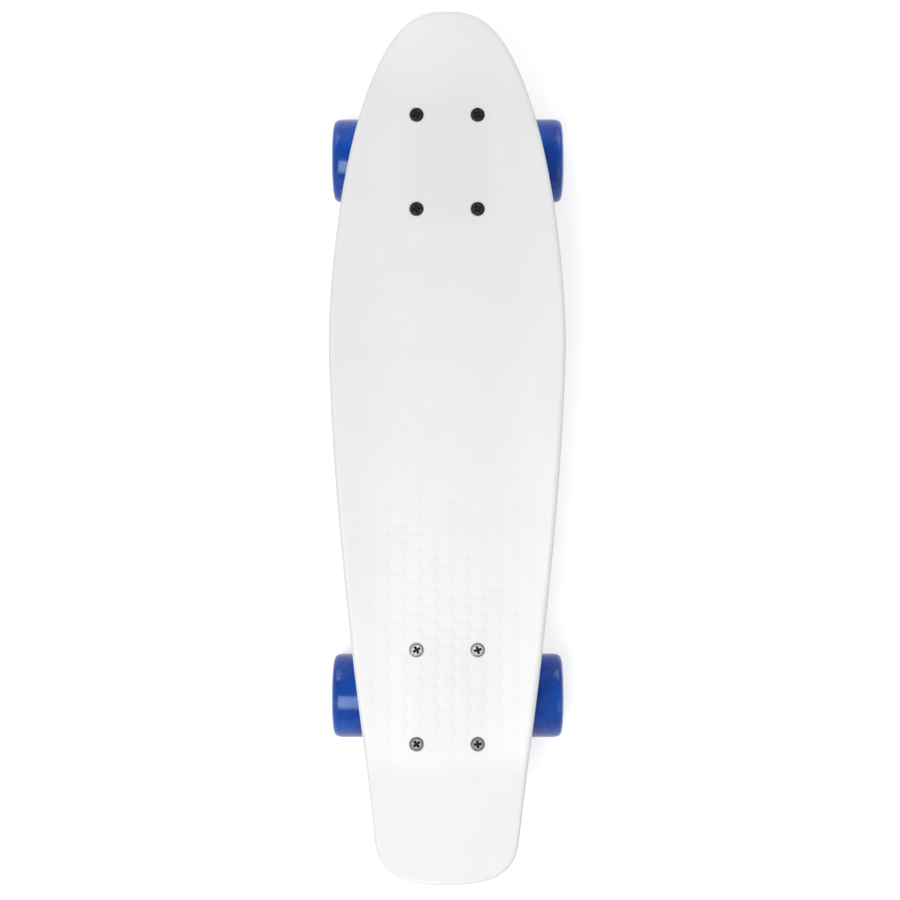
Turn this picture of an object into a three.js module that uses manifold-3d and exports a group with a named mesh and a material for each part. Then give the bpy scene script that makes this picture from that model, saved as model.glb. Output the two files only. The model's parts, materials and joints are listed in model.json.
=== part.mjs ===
// Cruiser skateboard: an injection-moulded plastic deck on two steering trucks with four cast wheels.
// Millimetres. +X points to the nose, +Y to the rider's left and +Z up.
// The origin is on the ground, under the middle of the deck.
import * as THREE from "three";
import { mergeVertices } from "three/addons/utils/BufferGeometryUtils.js";
import Module from "manifold-3d";

const wasm = await Module();
wasm.setup();

// Clearances shared by the whole board
const seatGap = 0.3; // between two pieces that rest on each other
const overrun = 5; // how far a cutting shape runs past what it cuts
const weldDistance = 0.0005; // corners closer than this are one corner
const cornerSteps = 4; // facets of a plate's rounded corner

// Deck seen from above
const deckLength = 579.6;
const deckWidth = 160;
const widestAhead = 70; // the widest place, ahead of the deck's middle
const tailWidth = 88.4; // where the tapering sides would meet the tail's end
const tailRounding = 30; // length of the tail's rounded end
const noseBellyPower = 1.63;
const noseTipPower = 2.62;
const tailTaperPower = 1.53;
const tailBellyPower = 3.3;
const tailCornerPower = 2.7;
const noseSteps = 13;
const sideSteps = 7;
const tailSteps = 8;

// Deck seen from the side and in section
const skinThickness = 4.5;
const rimDepth = 11;
const rimWidth = 5;
const ribDepth = 9.5; // from the deck's upper surface to the lower edge of a rib
const ribThickness = 3;
const ribSpacing = 25; // between the ribs that run along the deck
const crossRibSpacing = 41;
const concaveDepth = 3;
const flatWidth = 56; // the flat middle lane that the bolts and feet stand on
const noseRise = 11;
const noseRiseInsidePad = 8; // the nose starts to rise this far inside the mounting pad's end
const kickInsidePad = 5; // and the tail's kick starts this far inside its pad's end
const kickAngle = THREE.MathUtils.degToRad(32);
const kickRadius = 70;
const concaveSteps = 4;
const noseRiseSteps = 5;
const kickSteps = 5;

// Truck mounting: where the two bolt groups are, and their bolts
const noseOverhang = 99.8; // from the nose's tip to the middle of the front bolts
const tailOverhang = 118.8;
const boltSpacingAlong = 63.5;
const boltSpacingAcross = 41.275;
const padThickness = 11.5; // deck thickness over the truck
const padMarginAlong = 2; // how far the pad stands out past the baseplate
const padMarginAcross = 3;
const boltDiameter = 4.9;
const boltHeadDiameter = 9.7;
const boltHeadHeight = 2.6;
const boltHeadSink = 0.2;
const boltLength = 28.6;
const boltSteps = 12;
const crossSlotLength = 5.6;
const crossSlotWidth = 1.1;
const crossSlotDepth = 1.7;
// How far each bolt's cross slot is turned, in degrees: outer left, outer right, inner left and
// inner right of the front truck, then of the rear truck.
const slotTurns = [24, 52, 11, 35, 38, 8, 30, 15];
const lockNutAcrossFlats = 8;
const lockNutHeight = 5;

// Wheels, axle and the bearing stack on it
const wheelDiameter = 59;
const wheelWidth = 45;
const treadWidth = 33;
const wheelFaceShares = [[0.875, 0.36], [0.7, 0.14], [0.47, 0.05]]; // out and in from the tread
const lipDiameter = 35; // the lip round the dish in each face
const lipThickness = 2;
const lipRound = 1.2;
const wheelSteps = 24;
const bearingDiameter = 22;
const bearingWidth = 7;
const bearingStop = 1.5; // height of the wheel's shoulder that a bearing seats on
const bearingSteps = 20;
const innerRaceDiameter = 11.8;
const raceGap = 0.4; // between the inner race and the shields
const spacerDiameter = 10.4;
const spacerLength = 10;
const speedRingDiameter = 11;
const speedRingThickness = 1;
const stackSteps = 16;
const axleDiameter = 7.9;
const axleNutAcrossFlats = 13;
const axleNutHeight = 6.5;
const axleEndPastNut = 1.5;
const axleChamfer = 0.7;

// Truck, measured from the top of its baseplate at the middle of the bolt group.
// Outward is away from the board's middle, towards the nose or the tail.
const truckHeight = 54; // from the baseplate's top to the axle's centre
const axleOutward = 7.4;
const plateMarginAlong = 8.25; // from the bolts' centres to the baseplate's ends
const plateMarginAcross = 6.4;
const plateThickness = 6.5;
const plateCorner = 9;
const ringInward = 14; // centre of the hanger's ring, from the bolt group's middle
const ringDrop = 37;
const pivotInset = 11; // centre of the pivot's ball end, from the baseplate's outer end
const pivotDrop = 13;
const kingpinTilt = THREE.MathUtils.degToRad(24);

// Kingpin, bushings and washers, stacked along the kingpin's axis
const kingpinDiameter = 9.5;
const kingpinHeadAcrossFlats = 12.7;
const kingpinHeadHeight = 5;
const kingpinHeadDrop = 9; // from the baseplate's top to the head's lower face, on its axis
const kingpinEndPastNut = 2.6;
const kingpinNutAcrossFlats = 14.3;
const kingpinNutHeight = 7.5;
const bossRadius = 13;
const boardBushingRadius = 12;
const bushingBulge = 0.4;
const boardBushingHeight = 14;
const roadBushingRadius = 11.3;
const roadBushingTipRadius = 9;
const roadBushingHeight = 11;
const bushingPlay = 0.4; // round the kingpin
const washerThickness = 1.6;
const washerLip = 1.4;
const washerWall = 1.2;
const bushingSteps = 20;

// Hanger
const hangerWidth = 90;
const beamRadius = 11.3;
const beamNeckRadius = 8.4;
const beamEndRadius = 7;
const beamShoulderShare = 0.333; // of the half width, where the beam's thick middle ends
const beamNeckShare = 0.69;
const beamSteps = 16;
const ringWall = 3.1; // round the bushing's seat
const ringThickness = 9;
const ringSeatDepth = 2;
const ringPlay = 2.25; // round the kingpin, so that the hanger can tilt
const ringSteps = 20;
const webWidth = 17;
const stubRadius = 4.6;
const stubLength = 12;
const stubRootRadius = 6;
const stubTaper = 5; // length over which the stub widens to its root
const stubSteps = 14;

// Pivot cup and its boss on the baseplate
const cupWall = 2.1;
const cupFloor = 1.5;
const cupMouth = 7; // from the ball's centre to the baseplate's edge round the cup
const cupLipWidth = 1.3;
const cupLipThickness = 1.5;
const cupBossWall = 3.2;

// Places that follow from the sizes above
const axleHeight = (wheelDiameter / 2) * Math.cos(Math.PI / wheelSteps);
const truckTop = axleHeight + truckHeight;
const padHeight = truckTop + seatGap;
const deckTop = padHeight + padThickness;
const boltHoleRadius = boltDiameter / 2 + seatGap;
const plateLength = boltSpacingAlong + 2 * plateMarginAlong;
const plateWidth = boltSpacingAcross + 2 * plateMarginAcross;
const padLength = plateLength + 2 * padMarginAlong;
const padWidth = plateWidth + 2 * padMarginAcross;
const noseLength = deckLength / 2 - widestAhead;
const tailLength = deckLength / 2 + widestAhead;
const frontTruckX = deckLength / 2 - noseOverhang;
const rearTruckX = tailOverhang - deckLength / 2;
const noseRiseStart = frontTruckX + padLength / 2 - noseRiseInsidePad;
const kickStart = rearTruckX - padLength / 2 + kickInsidePad;
const pivotOutward = plateLength / 2 - pivotInset;
const steerRake = Math.atan2(ringDrop - pivotDrop, ringInward + pivotOutward);
const bushingBoreRadius = kingpinDiameter / 2 + bushingPlay;
const bushingSeatRadius = boardBushingRadius + bushingBulge + seatGap;
const ringRadius = bushingSeatRadius + ringWall;
const stubRoot = stubLength + stubTaper;
const cupBore = stubRadius + seatGap;
const cupRadius = cupBore + cupWall;
const boardBushingFoot = ringThickness / 2 - ringSeatDepth + seatGap;
const boardBushingHead = boardBushingFoot + boardBushingHeight;
const bossSeat = boardBushingHead + washerThickness + 2 * seatGap;
const kingpinHeadSeat = (ringDrop - kingpinHeadDrop) / Math.cos(kingpinTilt);
const roadBushingTip = boardBushingFoot + roadBushingHeight;
const roadWasherFace = roadBushingTip + washerThickness + 2 * seatGap;
const kingpinEnd = roadWasherFace + kingpinNutHeight + kingpinEndPastNut;
const stackLength = 2 * bearingWidth + spacerLength + 2 * speedRingThickness;
const wheelCentre = hangerWidth / 2 + seatGap + stackLength / 2;
const axleNutFoot = wheelCentre + stackLength / 2 + seatGap;
const axleHalfLength = axleNutFoot + axleNutHeight + axleEndPastNut;

const materials = {
  deck: surface(0xf2f2f2, 0.32, 0),
  wheel: surface(0x1f48a8, 0.18, 0),
  blackBolt: surface(0x1b1b1c, 0.5, 0.6),
  brightBolt: surface(0x9a9a9c, 0.38, 0.9),
  zinc: surface(0xb9bcc0, 0.35, 0.9),
  cast: surface(0xb4b7ba, 0.42, 0.85),
  bushing: surface(0xf0efe9, 0.4, 0),
  cup: surface(0x23262b, 0.7, 0),
  bearing: surface(0x7d8186, 0.35, 0.9),
  steel: surface(0xc9cbce, 0.25, 0.95),
};

function surface(color, roughness, metalness) {
  return new THREE.MeshStandardMaterial({ color, roughness, metalness });
}

function named(name, geometry, material) {
  const mesh = new THREE.Mesh(geometry, material);
  mesh.name = name;
  return mesh;
}

// A closed geometry as a solid that can be cut and joined.
function solidOf(geometry) {
  const bare = new THREE.BufferGeometry();
  bare.setAttribute("position", geometry.getAttribute("position"));
  bare.setIndex(geometry.getIndex());
  const welded = mergeVertices(bare, weldDistance);
  return new wasm.Manifold(
    new wasm.Mesh({
      numProp: 3,
      vertProperties: welded.getAttribute("position").array,
      triVerts: new Uint32Array(welded.getIndex().array),
    }),
  );
}

function geometryOf(solid) {
  const cutMesh = solid.getMesh();
  const geometry = new THREE.BufferGeometry();
  geometry.setAttribute("position", new THREE.BufferAttribute(cutMesh.vertProperties, 3));
  geometry.setIndex(new THREE.BufferAttribute(cutMesh.triVerts, 1));
  const faceted = geometry.toNonIndexed();
  faceted.computeVertexNormals();
  return faceted;
}

function joined(geometries) {
  return geometries.map(solidOf).reduce((whole, piece) => whole.add(piece));
}

function cutAway(solid, geometries) {
  return geometries.reduce((left, geometry) => left.subtract(solidOf(geometry)), solid);
}

// A turned shape around +Z. The profile lists [radius, height] points, anticlockwise.
function turned(profile, steps) {
  const points = profile.map(([radius, height]) => new THREE.Vector2(radius, height));
  return new THREE.LatheGeometry(points, steps).rotateX(Math.PI / 2);
}

function turnedRod(radius, low, high, steps) {
  return turned([[0, low], [radius, low], [radius, high], [0, high]], steps);
}

function turnedRing(innerRadius, outerRadius, low, high, steps) {
  const corners = [
    [innerRadius, low],
    [outerRadius, low],
    [outerRadius, high],
    [innerRadius, high],
    [innerRadius, low],
  ];
  return turned(corners, steps);
}

function roundedRectangle(length, width, corner) {
  const shape = new THREE.Shape();
  const x = length / 2 - corner;
  const y = width / 2 - corner;
  shape.absarc(x, y, corner, 0, Math.PI / 2);
  shape.absarc(-x, y, corner, Math.PI / 2, Math.PI);
  shape.absarc(-x, -y, corner, Math.PI, 1.5 * Math.PI);
  shape.absarc(x, -y, corner, 1.5 * Math.PI, 2 * Math.PI);
  return shape;
}

function extruded(shape, low, high, curveSegments = cornerSteps) {
  const settings = { depth: high - low, bevelEnabled: false, curveSegments };
  return new THREE.ExtrudeGeometry(shape, settings).translate(0, 0, low);
}

// A hexagonal nut or bolt head around +Z, with a bore unless boreDiameter is zero.
function hexagon(acrossFlats, boreDiameter, low, high) {
  const corner = acrossFlats / 2 / Math.cos(Math.PI / 6);
  const shape = new THREE.Shape();
  for (let i = 0; i < 6; i += 1) {
    const angle = (i * Math.PI) / 3;
    const x = corner * Math.cos(angle);
    const y = corner * Math.sin(angle);
    if (i === 0) shape.moveTo(x, y);
    else shape.lineTo(x, y);
  }
  shape.closePath();
  if (boreDiameter > 0) {
    const bore = new THREE.Path();
    bore.absarc(0, 0, boreDiameter / 2, 0, 2 * Math.PI);
    shape.holes.push(bore);
  }
  return extruded(shape, low, high, boltSteps / 2);
}

// Half of the deck's width at a place along it.
function deckHalfWidth(x) {
  const ahead = x - widestAhead;
  if (ahead >= 0) {
    const noseShare = Math.min(ahead / noseLength, 1);
    return (deckWidth / 2) * (1 - noseShare ** noseBellyPower) ** (1 / noseTipPower);
  }
  const tailShare = Math.min(-ahead / tailLength, 1);
  const side = deckWidth / 2 - ((deckWidth - tailWidth) / 2) * tailShare ** tailTaperPower;
  const endShare = Math.max(1 - ((1 - tailShare) * tailLength) / tailRounding, 0);
  return side * (1 - endShare ** tailBellyPower) ** (1 / tailCornerPower);
}

// The places along the deck, from nose to tail, where its outline has a corner.
function outlineStations() {
  const stations = [];
  for (let i = noseSteps; i > 0; i -= 1) {
    stations.push(widestAhead + noseLength * Math.sin(((i / noseSteps) * Math.PI) / 2));
  }
  const sideLength = tailLength - tailRounding;
  for (let i = 0; i < sideSteps; i += 1) {
    stations.push(widestAhead - (i / sideSteps) * sideLength);
  }
  for (let i = 0; i <= tailSteps; i += 1) {
    const turn = ((i / tailSteps) * Math.PI) / 2;
    stations.push(widestAhead - sideLength - tailRounding * Math.sin(turn));
  }
  return stations;
}

function deckOutline() {
  const left = outlineStations().map((x) => new THREE.Vector2(x, deckHalfWidth(x)));
  const right = left.slice(1, -1).reverse();
  return [...left, ...right.map((point) => new THREE.Vector2(point.x, -point.y))];
}

// The outline moved inwards, each corner along the line that halves it.
function insetOutline(points, inset) {
  return points.map((point, i) => {
    const before = points[(i + points.length - 1) % points.length];
    const after = points[(i + 1) % points.length];
    const along = after.clone().sub(before).normalize();
    return new THREE.Vector2(point.x - along.y * inset, point.y + along.x * inset);
  });
}

function riseAlongDeck(x) {
  if (x > noseRiseStart) {
    const share = (x - noseRiseStart) / (deckLength / 2 - noseRiseStart);
    return noseRise * share * share;
  }
  const behind = Math.max(kickStart - x, 0);
  const arcLength = kickRadius * Math.sin(kickAngle);
  const onArc = Math.min(behind, arcLength);
  const arcRise = kickRadius - Math.sqrt(kickRadius * kickRadius - onArc * onArc);
  return arcRise + (behind - onArc) * Math.tan(kickAngle);
}

function riseAcrossDeck(y) {
  const share = Math.max(Math.abs(y) - flatWidth / 2, 0) / (deckWidth / 2 - flatWidth / 2);
  return concaveDepth * share * share;
}

function spread(from, to, steps) {
  return Array.from({ length: steps + 1 }, (_, i) => from + ((to - from) * i) / steps);
}

// Places along and across the deck where its curved surface has a crease.
function surfaceStations() {
  const arcEnd = kickStart - kickRadius * Math.sin(kickAngle);
  return [
    -deckLength / 2 - overrun,
    ...spread(arcEnd, kickStart, kickSteps),
    ...spread(noseRiseStart, deckLength / 2, noseRiseSteps),
    deckLength / 2 + overrun,
  ];
}

function surfaceLanes() {
  const left = [...spread(flatWidth / 2, deckWidth / 2, concaveSteps), deckWidth / 2 + overrun];
  return [...left.map((y) => -y).reverse(), ...left];
}

// A sheet that follows the deck's upper surface, between two depths below it.
function deckSheet(upperDrop, lowerDrop) {
  const stations = surfaceStations();
  const lanes = surfaceLanes();
  const sheet = new THREE.BoxGeometry(1, 1, 1, stations.length - 1, lanes.length - 1, 1);
  const corners = sheet.getAttribute("position");
  for (let i = 0; i < corners.count; i += 1) {
    const x = stations[Math.round((corners.getX(i) + 0.5) * (stations.length - 1))];
    const y = lanes[Math.round((corners.getY(i) + 0.5) * (lanes.length - 1))];
    const drop = corners.getZ(i) > 0 ? upperDrop : lowerDrop;
    corners.setXYZ(i, x, y, deckTop + riseAlongDeck(x) + riseAcrossDeck(y) - drop);
  }
  return solidOf(sheet);
}

// A height above every place on the deck.
function aboveDeck() {
  return deckTop + noseRise + riseAlongDeck(-deckLength / 2) + concaveDepth + overrun;
}

function outlineBlock(points) {
  return solidOf(extruded(new THREE.Shape(points), 0, aboveDeck()));
}

function ribBlocks() {
  const tall = aboveDeck();
  const blocks = [-ribSpacing, 0, ribSpacing].map((y) =>
    new THREE.BoxGeometry(deckLength, ribThickness, tall).translate(0, y, tall / 2),
  );
  const crossRibs = Math.floor(deckLength / crossRibSpacing);
  for (let i = 0; i < crossRibs; i += 1) {
    const x = (i - (crossRibs - 1) / 2) * crossRibSpacing;
    blocks.push(new THREE.BoxGeometry(ribThickness, deckWidth, tall).translate(x, 0, tall / 2));
  }
  return blocks;
}

function mountingPad(truckX) {
  const shape = roundedRectangle(padLength, padWidth, plateCorner);
  return extruded(shape, padHeight, deckTop - skinThickness / 2).translate(truckX, 0, 0);
}

// Each bolt's place on the deck, with the names of its truck, row and side.
function boltPlaces() {
  const places = [];
  for (const [truck, truckX, outward] of [["front", frontTruckX, 1], ["rear", rearTruckX, -1]]) {
    for (const [row, rowSign] of [["outer", 1], ["inner", -1]]) {
      for (const [side, sideSign] of [["left", 1], ["right", -1]]) {
        const x = truckX + (outward * rowSign * boltSpacingAlong) / 2;
        const y = (sideSign * boltSpacingAcross) / 2;
        places.push({ name: `${truck}_${row}_${side}`, truck, x, y });
      }
    }
  }
  return places;
}

function boltHole(place) {
  const headRadius = boltHeadDiameter / 2 + seatGap;
  const seat = deckTop - boltHeadSink - boltHeadHeight;
  const profile = [
    [0, padHeight - overrun],
    [boltHoleRadius, padHeight - overrun],
    [boltHoleRadius, seat],
    [headRadius, deckTop - boltHeadSink],
    [headRadius, deckTop + overrun],
    [0, deckTop + overrun],
  ];
  return turned(profile, boltSteps).translate(place.x, place.y, 0);
}

function makeDeck() {
  const outline = deckOutline();
  const block = deckSheet(0, rimDepth).intersect(outlineBlock(outline));
  const ribs = joined(ribBlocks()).intersect(deckSheet(0, ribDepth));
  const hollow = deckSheet(skinThickness, rimDepth + overrun)
    .intersect(outlineBlock(insetOutline(outline, rimWidth)))
    .subtract(ribs);
  const pads = joined([mountingPad(frontTruckX), mountingPad(rearTruckX)]);
  const whole = block.subtract(hollow).add(pads);
  return named("deck", geometryOf(cutAway(whole, boltPlaces().map(boltHole))), materials.deck);
}

// A countersunk machine screw with a cross slot, its head's face at the height zero.
function makeBolt(place, slotTurn) {
  const shankRadius = boltDiameter / 2;
  const profile = [
    [0, -boltLength],
    [shankRadius, -boltLength],
    [shankRadius, -boltHeadHeight],
    [boltHeadDiameter / 2, 0],
    [0, 0],
  ];
  const slots = [0, Math.PI / 2].map((turn) =>
    new THREE.BoxGeometry(crossSlotLength, crossSlotWidth, 2 * crossSlotDepth).rotateZ(turn),
  );
  const solid = cutAway(solidOf(turned(profile, boltSteps)), slots);
  const material = place.truck === "front" ? materials.blackBolt : materials.brightBolt;
  const bolt = named(`${place.name}_bolt`, geometryOf(solid), material);
  bolt.position.set(place.x, place.y, deckTop - boltHeadSink);
  bolt.rotation.z = slotTurn;
  return bolt;
}

function makeLockNut(place) {
  const bore = boltDiameter + 2 * seatGap;
  const nut = named(
    `${place.name}_lock_nut`,
    hexagon(lockNutAcrossFlats, bore, -lockNutHeight, 0),
    materials.zinc,
  );
  nut.position.set(place.x, place.y, truckTop - plateThickness - seatGap);
  return nut;
}

// Turns a shape made around +Z onto the kingpin's axis, with its zero at the ring's centre.
function onKingpin(geometry) {
  return geometry.rotateY(kingpinTilt).translate(-ringInward, 0, -ringDrop);
}

// Turns a shape made around +Z onto the steering axis, with its zero at the pivot's ball.
function onSteeringAxis(geometry) {
  return geometry.rotateY(Math.PI / 2 - steerRake).translate(pivotOutward, 0, -pivotDrop);
}

function onAxle(geometry) {
  return geometry.rotateX(Math.PI / 2).translate(axleOutward, 0, -truckHeight);
}

// The plate with its kingpin boss and pivot boss. The bosses end inside the plate's own outline.
function makeBaseplate(truck) {
  const shape = roundedRectangle(plateLength, plateWidth, plateCorner);
  const plate = extruded(shape, -plateThickness, 0);
  const bossTop = (ringDrop + overrun) / Math.cos(kingpinTilt);
  const cupDepth = cupBore + cupFloor + seatGap;
  const bosses = joined([
    onKingpin(turnedRod(bossRadius, bossSeat, bossTop, ringSteps)),
    onSteeringAxis(
      turnedRod(cupRadius + cupBossWall, -cupMouth, cupDepth + cupBossWall, stubSteps),
    ),
  ]);
  const room = solidOf(extruded(shape, -ringDrop, 0));
  const body = solidOf(plate).add(bosses.intersect(room));
  const headRadius = kingpinHeadAcrossFlats / 2 / Math.cos(Math.PI / 6) + seatGap;
  const cuts = [
    onKingpin(turnedRod(kingpinDiameter / 2 + seatGap, 0, bossTop, ringSteps)),
    onKingpin(turnedRod(headRadius, kingpinHeadSeat - seatGap, 2 * bossTop, ringSteps)),
    onSteeringAxis(turnedRod(cupRadius + seatGap, -cupMouth - overrun, cupDepth, stubSteps)),
  ];
  for (const x of [-boltSpacingAlong / 2, boltSpacingAlong / 2]) {
    for (const y of [-boltSpacingAcross / 2, boltSpacingAcross / 2]) {
      const hole = turnedRod(boltHoleRadius, -plateThickness - overrun, overrun, boltSteps);
      cuts.push(hole.translate(x, y, 0));
    }
  }
  return named(`${truck}_baseplate`, geometryOf(cutAway(body, cuts)), materials.cast);
}

function makePivotCup(truck) {
  const floor = cupBore + cupFloor;
  const lipTop = -cupMouth - seatGap;
  const lipFoot = lipTop - cupLipThickness;
  const profile = [
    [0, cupBore],
    [cupBore / 2, (cupBore * Math.sqrt(3)) / 2],
    [cupBore, 0],
    [cupBore, lipFoot],
    [cupRadius + cupLipWidth, lipFoot],
    [cupRadius + cupLipWidth, lipTop],
    [cupRadius, lipTop],
    [cupRadius, floor],
    [0, floor],
  ];
  return named(`${truck}_pivot_cup`, turned(profile, stubSteps), materials.cup);
}

function makeKingpin(truck) {
  const headTop = kingpinHeadSeat + kingpinHeadHeight;
  const radius = kingpinDiameter / 2;
  const shank = [
    [0, -kingpinEnd],
    [radius - axleChamfer, -kingpinEnd],
    [radius, axleChamfer - kingpinEnd],
    [radius, kingpinHeadSeat + kingpinHeadHeight / 2],
    [0, kingpinHeadSeat + kingpinHeadHeight / 2],
  ];
  const head = hexagon(kingpinHeadAcrossFlats, 0, kingpinHeadSeat, headTop);
  const solid = joined([turned(shank, boltSteps), head]);
  return named(`${truck}_kingpin`, geometryOf(solid), materials.zinc);
}

function makeKingpinNut(truck) {
  const bore = kingpinDiameter + 2 * seatGap;
  const low = -roadWasherFace - kingpinNutHeight;
  const nut = hexagon(kingpinNutAcrossFlats, bore, low, -roadWasherFace);
  return named(`${truck}_kingpin_nut`, nut, materials.zinc);
}

function makeBoardsideBushing(truck) {
  const waist = (boardBushingFoot + boardBushingHead) / 2;
  const profile = [
    [bushingBoreRadius, boardBushingFoot],
    [boardBushingRadius, boardBushingFoot],
    [boardBushingRadius + bushingBulge, waist],
    [boardBushingRadius, boardBushingHead],
    [bushingBoreRadius, boardBushingHead],
    [bushingBoreRadius, boardBushingFoot],
  ];
  return named(`${truck}_boardside_bushing`, turned(profile, bushingSteps), materials.bushing);
}

function makeRoadsideBushing(truck) {
  const profile = [
    [bushingBoreRadius, -roadBushingTip],
    [roadBushingTipRadius, -roadBushingTip],
    [roadBushingRadius, -boardBushingFoot],
    [bushingBoreRadius, -boardBushingFoot],
    [bushingBoreRadius, -roadBushingTip],
  ];
  return named(`${truck}_roadside_bushing`, turned(profile, bushingSteps), materials.bushing);
}

// A dished washer round +Z: a disc whose lip wraps the end of a bushing that lies below it.
function cupWasher(bushingRadius) {
  const bore = kingpinDiameter / 2 + seatGap;
  const inside = bushingRadius + seatGap;
  const profile = [
    [bore, 0],
    [inside, 0],
    [inside, -washerLip],
    [inside + washerWall, -washerLip],
    [inside + washerWall, washerThickness],
    [bore, washerThickness],
    [bore, 0],
  ];
  return turned(profile, bushingSteps);
}

function makeWashers(truck) {
  const board = named(`${truck}_boardside_washer`, cupWasher(boardBushingRadius), materials.zinc);
  board.position.z = boardBushingHead + seatGap;
  const road = named(`${truck}_roadside_washer`, cupWasher(roadBushingTipRadius), materials.zinc);
  road.position.z = -roadBushingTip - seatGap;
  road.rotation.x = Math.PI;
  return [board, road];
}

// The casting that holds the axle: a beam, a ring for the kingpin and a stub for the pivot cup.
function makeHanger(truck) {
  const half = hangerWidth / 2;
  const beam = [
    [0, -half],
    [beamEndRadius, -half],
    [beamNeckRadius, -half * beamNeckShare],
    [beamRadius, -half * beamShoulderShare],
    [beamRadius, half * beamShoulderShare],
    [beamNeckRadius, half * beamNeckShare],
    [beamEndRadius, half],
    [0, half],
  ];
  const stub = [
    [0, -stubRoot],
    [stubRootRadius, -stubRoot],
    [stubRadius, -stubLength],
    [stubRadius, 0],
    [stubRadius / 2, (stubRadius * Math.sqrt(3)) / 2],
    [0, stubRadius],
  ];
  const body = joined([
    onAxle(turned(beam, beamSteps)),
    onKingpin(turnedRod(ringRadius, -ringThickness / 2, ringThickness / 2, ringSteps)),
    onSteeringAxis(turned(stub, stubSteps)),
    hangerWeb(),
  ]);
  const seat = ringThickness / 2 - ringSeatDepth;
  const ringBore = kingpinDiameter / 2 + ringPlay;
  const lowerRoom = roadBushingRadius + seatGap;
  const cuts = [
    onKingpin(turnedRod(ringBore, -ringThickness, ringThickness, ringSteps)),
    onKingpin(turnedRod(bushingSeatRadius, seat, bossSeat, bushingSteps)),
    onKingpin(turnedRod(lowerRoom, -kingpinEnd, -seat, bushingSteps)),
    onAxle(turnedRod(axleDiameter / 2 + seatGap, -hangerWidth, hangerWidth, beamSteps)),
  ];
  return named(`${truck}_hanger`, geometryOf(cutAway(body, cuts)), materials.cast);
}

// The web seen from the side: from the ring's outer edge up to the stub and down round the beam.
function hangerWeb() {
  const ring = new THREE.Vector2(-ringInward, -ringDrop);
  const ringUp = new THREE.Vector2(Math.sin(kingpinTilt), Math.cos(kingpinTilt));
  const ringOut = new THREE.Vector2(Math.cos(kingpinTilt), -Math.sin(kingpinTilt));
  const stubUp = new THREE.Vector2(-Math.sin(steerRake), Math.cos(steerRake));
  const stubOut = new THREE.Vector2(Math.cos(steerRake), Math.sin(steerRake));
  const pivot = new THREE.Vector2(pivotOutward, -pivotDrop);
  const root = pivot.clone().addScaledVector(stubOut, -(stubRoot + stubLength) / 2);
  const axle = new THREE.Vector2(axleOutward, -truckHeight);
  const edge = (ringRadius + boardBushingRadius) / 2;
  const corners = [
    ring.clone().addScaledVector(ringUp, ringThickness / 2).addScaledVector(ringOut, edge),
    ring.clone().addScaledVector(ringUp, -ringThickness / 2).addScaledVector(ringOut, edge),
    axle.clone().add(new THREE.Vector2(-beamNeckRadius, 0)),
    axle.clone().add(new THREE.Vector2(beamNeckRadius, 0)),
    root.clone().addScaledVector(stubUp, -stubRootRadius),
    root.clone().addScaledVector(stubUp, stubRadius),
  ];
  const web = extruded(new THREE.Shape(corners), -webWidth / 2, webWidth / 2);
  return web.rotateX(Math.PI / 2);
}

function makeAxle(truck) {
  const radius = axleDiameter / 2;
  const profile = [
    [0, -axleHalfLength],
    [radius - axleChamfer, -axleHalfLength],
    [radius, axleChamfer - axleHalfLength],
    [radius, axleHalfLength - axleChamfer],
    [radius - axleChamfer, axleHalfLength],
    [0, axleHalfLength],
  ];
  return named(`${truck}_axle`, onAxle(turned(profile, stackSteps)), materials.steel);
}

// A wheel around +Z with its centre at zero. It stands on a flat, so its first corner is half a step off.
function makeWheel(name) {
  const pocket = spacerLength / 2 - seatGap;
  const bearingRoom = bearingDiameter / 2 + seatGap;
  const face = wheelFaceShares.map(([outwardShare, inwardShare]) => [
    (wheelDiameter - (wheelDiameter - lipDiameter) * inwardShare) / 2,
    (treadWidth + (wheelWidth - treadWidth) * outwardShare) / 2,
  ]);
  const half = [
    [bearingDiameter / 2 - bearingStop, pocket],
    [bearingRoom, pocket],
    [bearingRoom, pocket + seatGap + bearingWidth],
    [lipDiameter / 2 - lipThickness, wheelWidth / 2 - lipRound],
    [lipDiameter / 2, wheelWidth / 2],
    ...face,
    [wheelDiameter / 2, treadWidth / 2],
  ];
  const other = half.map(([radius, across]) => [radius, -across]);
  const profile = [...other, ...half.slice().reverse(), other[0]];
  const tread = turned(profile, wheelSteps).rotateZ(Math.PI / wheelSteps);
  return named(`${name}_wheel`, tread, materials.wheel);
}

// The outer race of a bearing with its two shields.
function makeBearing(name, place, sign) {
  const low = spacerLength / 2;
  const high = low + bearingWidth;
  const shieldBore = innerRaceDiameter / 2 + raceGap;
  const race = turnedRing(shieldBore, bearingDiameter / 2, low, high, bearingSteps);
  const bearing = named(`${name}_${place}_bearing`, race, materials.bearing);
  bearing.rotation.x = sign > 0 ? 0 : Math.PI;
  return bearing;
}

// What stays still inside a wheel: two inner races, the spacer between them and two speed rings.
function makeSpacer(name) {
  const bore = axleDiameter / 2 + seatGap;
  const race = spacerLength / 2 + bearingWidth;
  const half = [
    [spacerDiameter / 2, spacerLength / 2],
    [innerRaceDiameter / 2, spacerLength / 2],
    [innerRaceDiameter / 2, race],
    [speedRingDiameter / 2, race],
    [speedRingDiameter / 2, race + speedRingThickness],
    [bore, race + speedRingThickness],
  ];
  const other = half.map(([radius, across]) => [radius, -across]).reverse();
  const spacer = turned([...other, ...half, other[0]], stackSteps);
  return named(`${name}_bearing_spacer`, spacer, materials.steel);
}

function makeAxleNut(name, outward) {
  const bore = axleDiameter + 2 * seatGap;
  const nut = hexagon(axleNutAcrossFlats, bore, 0, axleNutHeight);
  const placed = named(`${name}_axle_nut`, nut, materials.zinc);
  placed.position.z = outward * (axleNutFoot - wheelCentre);
  placed.rotation.x = outward > 0 ? 0 : Math.PI;
  return placed;
}

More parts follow.
